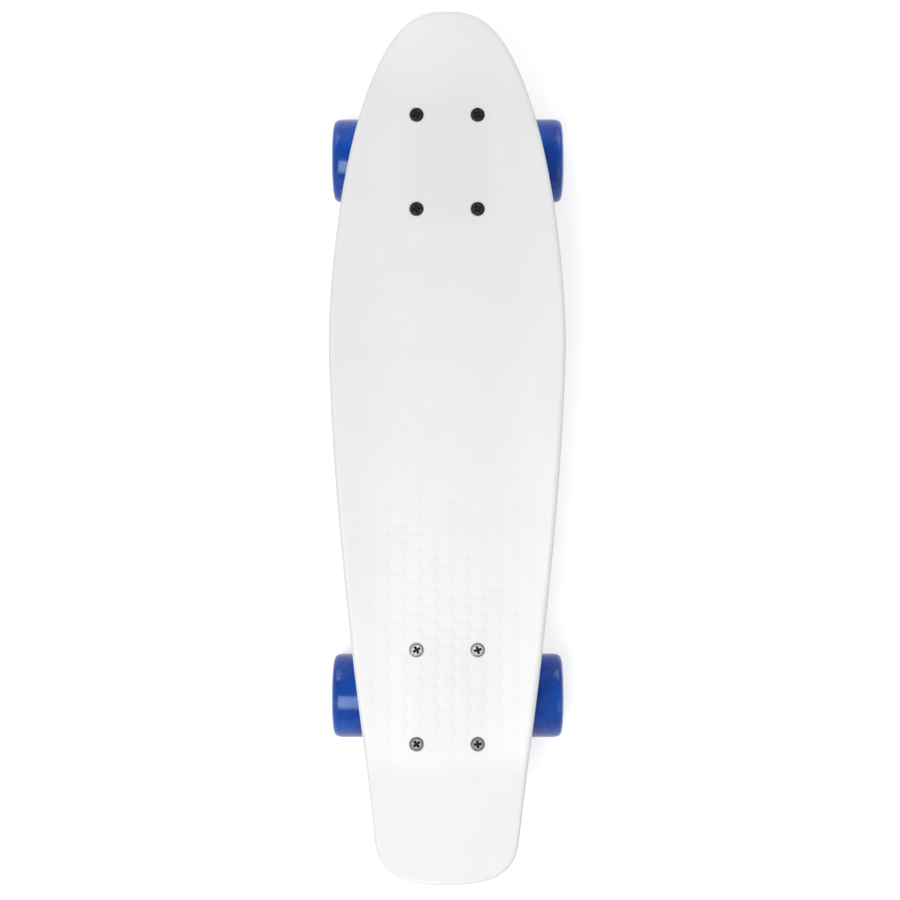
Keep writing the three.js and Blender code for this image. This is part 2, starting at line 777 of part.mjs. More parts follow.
// Everything on one end of an axle, in a group whose +Z lies along the axle.
function makeWheelSet(name, outward) {
  const set = new THREE.Group();
  set.add(makeWheel(name));
  set.add(makeBearing(name, "inner", -outward));
  set.add(makeBearing(name, "outer", outward));
  set.add(makeSpacer(name));
  set.add(makeAxleNut(name, outward));
  set.rotation.x = -Math.PI / 2;
  set.position.set(axleOutward, outward * wheelCentre, -truckHeight);
  return set;
}

// One truck in its own group: +X outward, zero on the baseplate's top over the bolt group's middle.
function makeTruck(truck, truckX, turned180) {
  const group = new THREE.Group();
  group.position.set(truckX, 0, truckTop);
  group.rotation.z = turned180 ? Math.PI : 0;
  group.add(makeBaseplate(truck));

  const kingpinStack = new THREE.Group();
  kingpinStack.position.set(-ringInward, 0, -ringDrop);
  kingpinStack.rotation.y = kingpinTilt;
  kingpinStack.add(makeKingpin(truck), makeKingpinNut(truck));
  kingpinStack.add(makeBoardsideBushing(truck), makeRoadsideBushing(truck));
  kingpinStack.add(...makeWashers(truck));
  group.add(kingpinStack);

  const pivot = new THREE.Group();
  pivot.position.set(pivotOutward, 0, -pivotDrop);
  pivot.rotation.y = Math.PI / 2 - steerRake;
  pivot.add(makePivotCup(truck));
  group.add(pivot);

  group.add(makeHanger(truck), makeAxle(truck));
  const leftSign = turned180 ? -1 : 1;
  group.add(makeWheelSet(`${truck}_left`, leftSign));
  group.add(makeWheelSet(`${truck}_right`, -leftSign));
  return group;
}

const board = new THREE.Group();
board.add(makeDeck());
boltPlaces().forEach((place, i) => {
  const slotTurn = THREE.MathUtils.degToRad(slotTurns[i]);
  board.add(makeBolt(place, slotTurn), makeLockNut(place));
});
board.add(makeTruck("front", frontTruckX, false));
board.add(makeTruck("rear", rearTruckX, true));

export default board;
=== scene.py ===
"""A plastic cruiser skateboard: the looks, built round its packed construction model.

Shapes are drawn in millimetres and become metres when a mesh is made.
+X points to the nose, +Y to the rider's left and +Z up. The ground is at zero.
"""

import json
import math

import bpy
import numpy as np
from mathutils import Matrix, Quaternion, Vector
from mathutils.geometry import delaunay_2d_cdt


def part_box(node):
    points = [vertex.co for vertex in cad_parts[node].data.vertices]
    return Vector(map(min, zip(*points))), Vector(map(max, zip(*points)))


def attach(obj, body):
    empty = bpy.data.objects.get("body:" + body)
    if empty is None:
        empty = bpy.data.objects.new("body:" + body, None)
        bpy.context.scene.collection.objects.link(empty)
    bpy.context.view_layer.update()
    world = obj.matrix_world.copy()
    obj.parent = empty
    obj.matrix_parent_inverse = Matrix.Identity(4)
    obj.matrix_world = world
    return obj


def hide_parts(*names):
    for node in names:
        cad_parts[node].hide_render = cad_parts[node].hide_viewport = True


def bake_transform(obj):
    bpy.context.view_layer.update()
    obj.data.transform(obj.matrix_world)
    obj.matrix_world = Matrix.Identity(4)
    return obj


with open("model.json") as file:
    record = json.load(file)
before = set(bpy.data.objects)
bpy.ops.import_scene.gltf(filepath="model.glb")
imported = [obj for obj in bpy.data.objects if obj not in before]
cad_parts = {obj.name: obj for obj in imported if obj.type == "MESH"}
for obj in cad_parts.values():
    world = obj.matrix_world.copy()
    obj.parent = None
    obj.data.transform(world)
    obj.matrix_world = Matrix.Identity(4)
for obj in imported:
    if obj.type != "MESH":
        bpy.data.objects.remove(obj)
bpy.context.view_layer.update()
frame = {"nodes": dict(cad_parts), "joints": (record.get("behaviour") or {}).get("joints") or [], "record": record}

MM = 0.001
SHARP = math.radians(32)

# The deck seen from above
DECK_LENGTH, DECK_WIDTH = [(high - low) / MM for low, high in zip(*(c.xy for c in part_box("deck")))]
DECK_TOP = frame["record"]["mounts"][0]["pos_m"][2] / MM
WIDEST_AHEAD = 70
TAIL_WIDTH = 88.4
TAIL_ROUNDING = 30
NOSE_BELLY_POWER = 1.63
NOSE_TIP_POWER = 2.62
TAIL_TAPER_POWER = 1.53
TAIL_BELLY_POWER = 3.3
TAIL_CORNER_POWER = 2.7
NOSE_LENGTH = DECK_LENGTH / 2 - WIDEST_AHEAD
TAIL_LENGTH = DECK_LENGTH / 2 + WIDEST_AHEAD
OUTLINE_POINTS = 1080

# The deck seen from the side and in section
SKIN = 4.5
RIM_DEPTH = 11
RIM_WIDTH = 5
RIB_DEPTH = 9.5
RIB_THICKNESS = 3
RIB_SPACING = 25
CROSS_RIB_SPACING = 41
CONCAVE = 3
FLAT_WIDTH = 56
NOSE_RISE = 11
KICK_ANGLE = math.radians(32)
KICK_RADIUS = 70
PAD_CORNER = 9
PAD_MARGIN = Vector((4, 6, 0))
NOSE_IN_PAD = 8
KICK_IN_PAD = 5
EDGE_ROUNDING = 3
RIM_FOOT_ROUNDING = 1.3
PIN_RADIUS = 3.2
PIN_SINK = 0.25

# The grip relief on the deck: six-sided cells with a groove between them
CELL = 10.8
GROOVE_WIDTH = 2.6
GROOVE_DEPTH = 0.08
CELL_CROWN = 0.058
RELIEF_FRONT = (-52, 6)
RELIEF_BACK = (-224, -208)
RELIEF_EDGE = (4, 12)
BOLT_CLEARING = (6.5, 9.5)
FINE_STEP = CELL / 12
COARSE_STEP = CELL / 4

# Bolts
BOLT_HEAD_RADIUS = 4.85
BOLT_HEAD_HEIGHT = 2.6
BOLT_RADIUS = 2.45
BOLT_PITCH = 0.8
THREAD_ROWS = 6
THREAD_DEPTH = 0.55
CLEARANCE = 0.3
SLOT_TURNS = [24, 52, 11, 35, 38, 8, 30, 15]

# Trucks
AXLE_RADIUS = 4.0
AXLE_BORE = 4.25
KINGPIN_RADIUS = 4.75
WASHER_THICKNESS = 1.6
BOSS_RADIUS = 13
PLATE_THICKNESS = 6.5
BEAM_RADIUS = 11.3
BEAM_NECK_RADIUS = 8.4
BEAM_END_RADIUS = 7
RING_THICKNESS = 9
RING_SEAT_DEPTH = 2
RING_BORE = 7
CAST_VOXEL = 0.62
SPOT_FACE = 0.15
SPOT_RADIUS = 6.2
WRENCH_RADIUS = 8.0
TRUCK_PITCH = 1.0
KINGPIN_HEX = 12.7
KINGPIN_HEAD = 5
HEX_FACE = 0.96
HEX_CHAMFER = math.radians(30)
SQUARE = 0.99  # the least share of a normal that counts as square to a face
NEAR = 0.02
CUP_RADIUS = 7.0
CUP_WALL = 3.5
CUP_LIP = 1.5
BALL_IN = 8.8
UPSIDE_DOWN = Matrix.Rotation(math.pi, 4, "X")

TRUCKS = {"front": 1, "rear": -1}
SIDES = {"left": 1, "right": -1}
BODY_OF = {
    node: body
    for body, nodes in frame["record"]["behaviour"]["bodies"].items()
    for node in nodes
}
JOINTS = {joint["name"]: joint for joint in frame["joints"]}
FINISHES = {}


class Shape:
    """Vertices in millimetres, faces, and for each face the number of its material."""

    def __init__(self, vertices, faces, paints=None):
        self.vertices = np.asarray(vertices, float).reshape(-1, 3)
        self.faces = faces
        self.paints = paints or [0] * len(faces)

    def moved(self, matrix):
        turn = np.array(matrix, float)
        return Shape(self.vertices @ turn[:3, :3].T + turn[:3, 3], self.faces, self.paints)

    def painted(self, number, test):
        """Gives a material to each face whose middle passes a test on its radius and height."""
        middles = np.array([self.vertices[list(face)].mean(0) for face in self.faces])
        chosen = test(np.hypot(middles[:, 0], middles[:, 1]), middles[:, 2])
        self.paints = [number if yes else old for yes, old in zip(chosen, self.paints)]
        return self


def merged(shapes):
    vertices, faces, paints = [], [], []
    for shape in shapes:
        first = len(vertices)
        vertices.extend(shape.vertices.tolist())
        faces.extend(tuple(first + i for i in face) for face in shape.faces)
        paints.extend(shape.paints)
    return Shape(vertices, faces, paints)


def skin(rings, loop=False):
    """A closed surface through rings of points. A ring of one point is a tip, and open ends get caps."""
    starts = np.cumsum([0] + [len(ring) for ring in rings]).tolist()
    vertices = np.concatenate([np.asarray(ring, float).reshape(-1, 3) for ring in rings])
    faces = []
    for i in range(len(rings) if loop else len(rings) - 1):
        k = (i + 1) % len(rings)
        n, m = len(rings[i]), len(rings[k])
        for j in range(max(n, m)):
            a, b = starts[i] + j % n, starts[i] + (j + 1) % n
            c, d = starts[k] + (j + 1) % m, starts[k] + j % m
            if n == 1:
                faces.append((a, c, d))
            elif m == 1:
                faces.append((a, b, d))
            else:
                faces.append((a, b, c, d))
    if not loop:
        if len(rings[0]) > 1:
            faces.append(tuple(reversed(range(len(rings[0])))))
        if len(rings[-1]) > 1:
            faces.append(tuple(range(starts[-2], starts[-1])))
    return Shape(vertices, faces)


def rounded(corners, steps=4):
    """A profile with its corners rounded. Each corner is (radius, height) or (radius, height, rounding)."""
    points = []
    count = len(corners)
    for i, corner in enumerate(corners):
        here = np.array(corner[:2], float)
        if len(corner) < 3:
            points.append(here)
            continue
        before = np.array(corners[i - 1][:2], float) - here
        after = np.array(corners[(i + 1) % count][:2], float) - here
        lengths = [np.linalg.norm(before), np.linalg.norm(after)]
        reach = min(corner[2], 0.48 * lengths[0], 0.48 * lengths[1])
        start = here + before / lengths[0] * reach
        end = here + after / lengths[1] * reach
        for share in np.linspace(0, 1, steps + 1):
            points.append((1 - share) ** 2 * start + 2 * share * (1 - share) * here + share**2 * end)
    return [tuple(point) for point in points]


def circle(radius, height, steps):
    """A ring of points around +Z. The radius may be one number or one for each point."""
    if np.isscalar(radius) and radius == 0:
        return np.array([[0, 0, height]])
    turn = np.arange(steps) * 2 * np.pi / steps
    radii = np.broadcast_to(radius, steps)
    return np.column_stack([radii * np.cos(turn), radii * np.sin(turn), np.full(steps, height)])


def stack(profile, steps):
    return [circle(radius, height, steps) for radius, height in profile]


def turned(profile, steps=96):
    """A turned shape around +Z. Its profile starts and ends on the axis, or closes on itself."""
    return skin(stack(profile, steps), profile[0][0] != 0)


def smooth_line(points, steps):
    """A curve through the points, with the first and last of them as its ends."""
    line = [np.array(point, float) for point in points]
    line = [2 * line[0] - line[1], *line, 2 * line[-1] - line[-2]]
    made = []
    for i in range(1, len(line) - 2):
        p, q, r, s = line[i - 1 : i + 3]
        for t in np.arange(steps) / steps:
            bend = (2 * p - 5 * q + 4 * r - s) * t * t + (3 * q - p - 3 * r + s) * t**3
            made.append(tuple(q + 0.5 * ((r - p) * t + bend)))
    return [*made, tuple(line[-2])]


def mirrored(upper):
    """The upper half of a profile with its mirror image below it."""
    return [(radius, -height, *rest) for radius, height, *rest in upper[::-1]] + upper


def centre_of(low, high):
    return (low + high) / 2


def turn_to(axis, towards, origin):
    """A place whose +Z lies along axis and whose +X leans towards a direction. The origin is in metres."""
    up = Vector(axis).normalized()
    ahead = (Vector(towards) - up * up.dot(Vector(towards))).normalized()
    made = Matrix((ahead, up.cross(ahead), up)).transposed().to_4x4()
    made.translation = origin
    return made


def make_object(name, shape, finishes=(), place=None):
    mesh = bpy.data.meshes.new(name)
    mesh.from_pydata((shape.vertices * MM).tolist(), [], shape.faces)
    for finish in finishes:
        mesh.materials.append(FINISHES[finish])
    mesh.polygons.foreach_set("material_index", shape.paints)
    mesh.update()
    made = bpy.data.objects.new(name, mesh)
    bpy.context.scene.collection.objects.link(made)
    if place is not None:
        made.matrix_world = place
    return made


def modify(piece, name, kind, **settings):
    """Gives a piece a modifier and keeps its result as the piece's mesh."""
    modifier = piece.modifiers.new(name, kind)
    for key, value in settings.items():
        setattr(modifier, key, value)
    bpy.context.view_layer.update()
    graph = bpy.context.evaluated_depsgraph_get()
    made = bpy.data.meshes.new_from_object(piece.evaluated_get(graph))
    old = piece.data
    name = old.name
    piece.modifiers.clear()
    piece.data = made
    bpy.data.meshes.remove(old)
    made.name = name


def combine(piece, operation, shape, place=None):
    """Cuts a shape from a piece, adds it or keeps only what is common."""
    tool = make_object("tool", shape, (), place)
    modify(piece, operation, "BOOLEAN", operation=operation, solver="MANIFOLD", object=tool)
    bpy.data.objects.remove(tool)


def cut(piece, place, *shapes):
    for shape in shapes:
        combine(piece, "DIFFERENCE", shape, place)


def shade(piece):
    piece.data.shade_smooth()
    piece.data.set_sharp_from_angle(angle=SHARP)
    modify(piece, "normals", "WEIGHTED_NORMAL", keep_sharp=True)


def stand_for(piece, node):
    """The piece takes the place of a construction node and moves with its body."""
    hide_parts(node)
    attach(piece, BODY_OF[node])


def add_piece(node, ending, shape, finishes, place):
    """A finished piece that takes the place of a construction node."""
    piece = make_object(f"{node}_{ending}", shape, finishes, place)
    shade(piece)
    stand_for(piece, node)


def measure(node, place):
    """A node's lowest and highest reach along a place's +Z and its radius about it, in millimetres."""
    mesh = frame["nodes"][node].data
    corners = np.empty(3 * len(mesh.vertices), np.float32)
    mesh.vertices.foreach_get("co", corners)
    back = np.array(place.inverted())
    local = corners.reshape(-1, 3).astype(float) @ back[:3, :3].T + back[:3, 3]
    radius = np.hypot(local[:, 0], local[:, 1]).max()
    return local[:, 2].min() / MM, local[:, 2].max() / MM, radius / MM


def middle(node):
    return centre_of(*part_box(node))


def top_of(node):
    """The middle of a node's top."""
    low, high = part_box(node)
    return centre_of(low.x, high.x), centre_of(low.y, high.y), high.z


# Materials


def plug(tree, node, sockets):
    """Fills sockets, by name or number: a socket is linked and anything else becomes the value."""
    for key, value in sockets.items():
        if isinstance(value, bpy.types.NodeSocket):
            tree.links.new(value, node.inputs[key])
        else:
            node.inputs[key].default_value = value


def add_node(tree, kind, sockets=None, **settings):
    made = tree.nodes.new("ShaderNode" + kind)
    for name, value in settings.items():
        setattr(made, name, value)
    plug(tree, made, sockets or {})
    return made


def new_material(name, **sockets):
    """A material with one Principled shader. Underscores in a socket's name stand for spaces."""
    made = bpy.data.materials.new(name)
    made.use_nodes = True
    tree = made.node_tree
    shader = tree.nodes["Principled BSDF"]
    for key, value in sockets.items():
        shader.inputs[key.replace("_", " ")].default_value = value
    return made, tree, shader


def object_space(tree):
    return add_node(tree, "TexCoord").outputs["Object"]


def noise(tree, scale, detail, roughness=0.55):
    """Noise whose scale is in bumps to the metre."""
    where = object_space(tree)
    sockets = {"Vector": where, "Scale": scale, "Detail": detail, "Roughness": roughness}
    return add_node(tree, "TexNoise", sockets).outputs["Fac"]


def ranged(tree, value, low, high, new_low, new_high):
    names = {"Value": value, "From Min": low, "From Max": high, "To Min": new_low, "To Max": new_high}
    return add_node(tree, "MapRange", names).outputs["Result"]


def calculate(tree, operation, *values):
    return add_node(tree, "Math", dict(enumerate(values)), operation=operation).outputs[0]


def blend_colours(tree, share, first, second):
    return add_node(tree, "Mix", {0: share, 6: first, 7: second}, data_type="RGBA").outputs[2]


def dressed(material, colour, gloss, *layers):
    """Links a material's colour and roughness and adds bumps, each (height socket, depth in metres)."""
    made, tree, shader = material
    plug(tree, shader, {"Base Color": colour, "Roughness": gloss})
    normal = None
    for height, depth in layers:
        bump = add_node(tree, "Bump", {"Height": height, "Distance": depth, "Strength": 1.0})
        if normal:
            tree.links.new(normal, bump.inputs["Normal"])
        normal = bump.outputs["Normal"]
    tree.links.new(normal, shader.inputs["Normal"])
    return made


def grey(value, tint=(1, 1, 1)):
    return (*(value * part for part in tint), 1.0)


def edge_wear(tree):
    """A share that is one on worn outside edges."""
    pointed = add_node(tree, "NewGeometry").outputs["Pointiness"]
    return ranged(tree, pointed, 0.505, 0.56, 0.0, 1.0)


def deck_material():
    material = new_material(
        "deck_plastic",
        IOR=1.49,
        Subsurface_Weight=0.12,
        Subsurface_Radius=(1.0, 0.95, 0.9),
        Subsurface_Scale=0.003,
    )
    tree = material[1]
    mottle = noise(tree, 22, 4.0)
    colour = blend_colours(tree, mottle, (0.86, 0.865, 0.875, 1), (0.92, 0.92, 0.925, 1))
    # Painted shade over the truck pads: the plastic is darkened where the baseplates beneath would shade it
    colour = blend_colours(tree, painted_plate_shade(tree), colour, (0.82, 0.825, 0.83, 1))
    gloss = ranged(tree, noise(tree, 60, 4.0), 0.2, 0.8, 0.29, 0.38)
    waves, grain = noise(tree, 45, 1.0), noise(tree, 1500, 2.0)
    return dressed(material, colour, gloss, (waves, 0.00004), (grain, 0.00001))


def painted_plate_shade(tree):
    """Painted shade: a share that rises over each truck's thick pad, where the metal plate beneath would shade the
    translucent plastic.
    """
    position = add_node(tree, "SeparateXYZ", {"Vector": object_space(tree)})
    shares = []
    for truck in TRUCKS:
        low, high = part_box(f"{truck}_baseplate")
        centre, half = centre_of(low, high), (high - low) / 2
        past = []
        for axis, socket in enumerate("XY"):
            away = calculate(tree, "SUBTRACT", position.outputs[socket], centre[axis])
            size = calculate(tree, "ABSOLUTE", away)
            past.append(calculate(tree, "SUBTRACT", size, half[axis]))
        outside = calculate(tree, "MAXIMUM", *past)
        shares.append(ranged(tree, outside, -0.006, 0.006, 0.5, 0.0))
    return calculate(tree, "MAXIMUM", *shares)


def wheel_material():
    material = new_material(
        "wheel_urethane",
        IOR=1.49,
        Transmission_Weight=0.5,
        Specular_IOR_Level=0.36,
        Specular_Tint=(0.72, 0.9, 1, 1),
    )
    tree = material[1]
    # Painted shade: the urethane is darker towards the wheel's front and back ends and lighter over its top and
    # bottom, as light from above falls; the noise adds random cloudy tone
    position = add_node(tree, "SeparateXYZ", {"Vector": object_space(tree)})
    ahead = calculate(tree, "ABSOLUTE", position.outputs["X"])
    painted_end_shade = ranged(tree, ahead, 0.006, 0.029, 0.36, -0.3)
    cloud = ranged(tree, noise(tree, 70, 6.0, 0.68), 0.3, 0.7, 0.0, 1.0)
    share = calculate(tree, "ADD", painted_end_shade, cloud)
    share.node.use_clamp = True
    colour = blend_colours(tree, share, (0.006, 0.012, 0.38, 1), (0.006, 0.15, 0.74, 1))
    gloss = ranged(tree, noise(tree, 300, 4.0), 0.2, 0.8, 0.15, 0.24)
    waves, grain = noise(tree, 120, 1.0), noise(tree, 2500, 2.0)
    return dressed(material, colour, gloss, (waves, 0.00002), (grain, 0.000003))


def metal_material(name, dark, light, gloss, grain, depth, wear=None, metallic=1.0, tint=(1, 1, 1)):
    """Bare or plated metal: two tones in a cloudy mix, a range of gloss, a fine grain and worn edges."""
    material = new_material(name, Metallic=metallic)
    tree = material[1]
    colour = blend_colours(tree, noise(tree, 90, 5.0), grey(dark, tint), grey(light))
    if wear:
        colour = blend_colours(tree, edge_wear(tree), colour, grey(wear))
    fine = noise(tree, grain, 4.0)
    return dressed(material, colour, ranged(tree, fine, 0.3, 0.7, *gloss), (fine, depth))


def machined_material(name, tone, gloss, pitch):
    """Turned metal with the fine rings that a lathe leaves round the piece's own +Z."""
    material = new_material(name, Metallic=1.0)
    tree = material[1]
    sockets = {"Vector": object_space(tree), "Scale": 1 / pitch, "Distortion": 0.4, "Detail": 2.0}
    waves = add_node(tree, "TexWave", sockets, wave_type="RINGS", rings_direction="Z")
    rings = waves.outputs["Fac"]
    colour = blend_colours(tree, noise(tree, 120, 4.0), grey(tone * 0.86), grey(tone, (1, 1, 0.99)))
    return dressed(material, colour, ranged(tree, rings, 0.0, 1.0, *gloss), (rings, 0.000008))


def soft_material(name, dark, light, gloss, translucence):
    """Cast urethane, rubber or nylon."""
    material = new_material(name, IOR=1.5, Subsurface_Weight=translucence, Subsurface_Scale=0.002)
    tree = material[1]
    colour = blend_colours(tree, noise(tree, 180, 4.0), dark, light)
    fine = noise(tree, 900, 3.0)
    return dressed(material, colour, ranged(tree, fine, 0.3, 0.7, *gloss), (fine, 0.00002))


def make_finishes():
    metal, machined, soft = metal_material, machined_material, soft_material
    cream = [(0.78, 0.76, 0.7, 1), (0.86, 0.85, 0.8, 1)]
    nylon = [(0.62, 0.64, 0.66, 1), (0.72, 0.73, 0.74, 1)]
    cool = (0.97, 0.99, 1.04)
    return {
        "deck": deck_material(),
        "wheel": wheel_material(),
        "black": metal("black_screw", 0.008, 0.016, (0.35, 0.5), 2200, 0.000006, 0.03, 0.5),
        # The rear bolts' two screw metals are a lit and a shaded copy of one metal: painted reflection, lighter on
        # the inner row and darker on the outer
        "bright": metal("bright_screw", 0.17, 0.26, (0.34, 0.46), 2200, 0.00001, 0.4),
        "shaded_copy": metal("dull_screw", 0.1, 0.17, (0.4, 0.52), 2200, 0.00001, 0.26),
        # Near-black metal for the bolts' cross recesses: the front bolts' own black finish, and painted shade in
        # the lighter rear bolts
        "recess": metal("recess_black", 0.006, 0.014, (0.5, 0.7), 1800, 0.00001, None, 0.3),
        "zinc": metal("zinc_steel", 0.5, 0.64, (0.28, 0.4), 1600, 0.00001, 0.78, tint=cool),
        "cast": metal("cast_aluminium", 0.36, 0.47, (0.38, 0.55), 1400, 0.00004, 0.66),
        "machined": machined("machined_aluminium", 0.74, (0.18, 0.27), 0.0005),
        "steel": machined("axle_steel", 0.62, (0.18, 0.27), 0.0006),
        "bearing": machined("bearing_steel", 0.55, (0.14, 0.24), 0.0008),
        "shield": metal("bearing_shield", 0.3, 0.38, (0.28, 0.4), 1800, 0.000008),
        "bushing": soft("bushing_urethane", *cream, (0.3, 0.42), 0.3),
        "cup": soft("cup_plastic", grey(0.012), grey(0.02), (0.5, 0.65), 0.0),
        "nylon": soft("nylon_ring", *nylon, (0.4, 0.5), 0.2),
    }


# The deck


def deck_half_width(x):
    ahead = np.clip((x - WIDEST_AHEAD) / NOSE_LENGTH, 0, 1)
    behind = np.clip((WIDEST_AHEAD - x) / TAIL_LENGTH, 0, 1)
    nose = DECK_WIDTH / 2 * (1 - ahead**NOSE_BELLY_POWER) ** (1 / NOSE_TIP_POWER)
    side = DECK_WIDTH / 2 - (DECK_WIDTH - TAIL_WIDTH) / 2 * behind**TAIL_TAPER_POWER
    end = np.clip(1 - (1 - behind) * TAIL_LENGTH / TAIL_ROUNDING, 0, 1)
    tail = side * (1 - end**TAIL_BELLY_POWER) ** (1 / TAIL_CORNER_POWER)
    return np.where(x > WIDEST_AHEAD, nose, tail)


def deck_outline():
    """Evenly spaced points round the deck, anticlockwise from the nose's tip, and their inward normals."""
    turn = np.linspace(0, np.pi / 2, 6000)
    tail_start = TAIL_ROUNDING - DECK_LENGTH / 2
    x = np.concatenate(
        [
            WIDEST_AHEAD + NOSE_LENGTH * np.cos(turn),
            np.linspace(WIDEST_AHEAD, tail_start, 6000)[1:],
            tail_start - TAIL_ROUNDING * np.sin(turn)[1:],
        ]
    )
    y = deck_half_width(x)
    travelled = np.concatenate([[0], np.cumsum(np.hypot(np.diff(x), np.diff(y)))])
    stops = np.linspace(0, travelled[-1], OUTLINE_POINTS // 2 + 1)
    left = np.column_stack([np.interp(stops, travelled, x), np.interp(stops, travelled, y)])
    whole = np.concatenate([left, left[-2:0:-1] * [1, -1]])
    along = np.roll(whole, -1, 0) - np.roll(whole, 1, 0)
    along /= np.linalg.norm(along, axis=1)[:, None]
    return whole, np.column_stack([-along[:, 1], along[:, 0]])


def deck_height(x, y):
    """Height of the deck's upper surface, without its relief."""
    nose_start, kick_start = rise_places()
    nose = NOSE_RISE * (np.maximum(x - nose_start, 0) / (DECK_LENGTH / 2 - nose_start)) ** 2
    behind = np.maximum(kick_start - x, 0)
    on_arc = np.minimum(behind, KICK_RADIUS * math.sin(KICK_ANGLE))
    kick = KICK_RADIUS - np.sqrt(KICK_RADIUS**2 - on_arc**2) + (behind - on_arc) * math.tan(KICK_ANGLE)
    across = np.maximum(np.abs(y) - FLAT_WIDTH / 2, 0) / (DECK_WIDTH / 2 - FLAT_WIDTH / 2)
    return DECK_TOP + nose + kick + CONCAVE * across**2


def pad_box(truck):
    """The middle and size of the thick pad over a truck, in millimetres."""
    low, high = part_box(f"{truck}_baseplate")
    return centre_of(low, high) / MM, (high - low) / MM + PAD_MARGIN


def rise_places():
    """Where the nose starts to rise and where the tail's kick starts."""
    front, front_size = pad_box("front")
    rear, rear_size = pad_box("rear")
    return front.x + front_size.x / 2 - NOSE_IN_PAD, rear.x - rear_size.x / 2 + KICK_IN_PAD


def between(value, low, high):
    """Zero below low, one above high and a smooth step between."""
    share = np.clip((value - low) / (high - low), 0, 1)
    return share * share * (3 - 2 * share)


def groove_distance(x, y):
    """Distance to the nearest edge of the six-sided cells, whose odd columns lie half a cell further on."""
    column = np.round(y / CELL)
    found = []
    for side in (-1, 0, 1):
        offset = np.where((column + side) % 2 == 0, 0.0, 0.5)
        row = np.round(x / CELL - offset)
        for step in (-1, 0, 1):
            found.append(((row + step + offset) * CELL, (column + side) * CELL))
    centres = np.array(found)
    squares = (centres[:, 0] - x) ** 2 + (centres[:, 1] - y) ** 2
    order = np.argmin(squares, axis=0)
    pick = np.arange(len(x))
    near = centres[order, :, pick].T
    gaps = np.hypot(centres[:, 0] - near[0], centres[:, 1] - near[1])
    away = (squares - squares[order, pick]) / np.where(gaps > 0, 2 * gaps, 1)
    return np.where(gaps > 0, away, np.inf).min(0)


def relief(x, y, bolts):
    """Height of the grip relief: crowned cells, grooves between them, and bare plastic round the bolts."""
    distance = groove_distance(x, y)
    cell = between(distance, 0.0, GROOVE_WIDTH / 2) - 1
    crown = CELL_CROWN * between(distance, 0.0, CELL / 2)
    shown = between(-x, -RELIEF_FRONT[1], -RELIEF_FRONT[0]) * between(x, *RELIEF_BACK)
    shown *= between(deck_half_width(x) - np.abs(y), *RELIEF_EDGE)
    for centre in bolts:
        shown *= between(np.hypot(x - centre.x, y - centre.y), *BOLT_CLEARING)
    return (GROOVE_DEPTH * cell + crown) * shown


def lattice(inner, step, low, high):
    """Points of a square lattice inside an outline, between two places along the deck."""
    x, y = np.meshgrid(
        np.arange(math.ceil(low / step), math.floor(high / step) + 1) * step,
        np.arange(-math.ceil(DECK_WIDTH / step), math.ceil(DECK_WIDTH / step) + 1) * step,
    )
    x, y = x.ravel(), y.ravel()
    half = len(inner) // 2 + 1
    limit = np.interp(x, inner[:half][::-1, 0], inner[:half][::-1, 1])
    inside = (x < inner[:, 0].max()) & (x > inner[:, 0].min()) & (np.abs(y) < limit)
    return np.column_stack([x[inside], y[inside]])


def filled(boundary, inside):
    """Triangles that fill a closed outline through the points inside it."""
    points = np.concatenate([boundary, inside])
    count = len(boundary)
    edges = [(i, (i + 1) % count) for i in range(count)]
    made = delaunay_2d_cdt([Vector(point) for point in points.tolist()], edges, [], 1, 1e-6)
    if len(made[0]) != len(points):
        raise ValueError("the outline's filling gained or lost points")
    return points, [tuple(face) for face in made[2]]


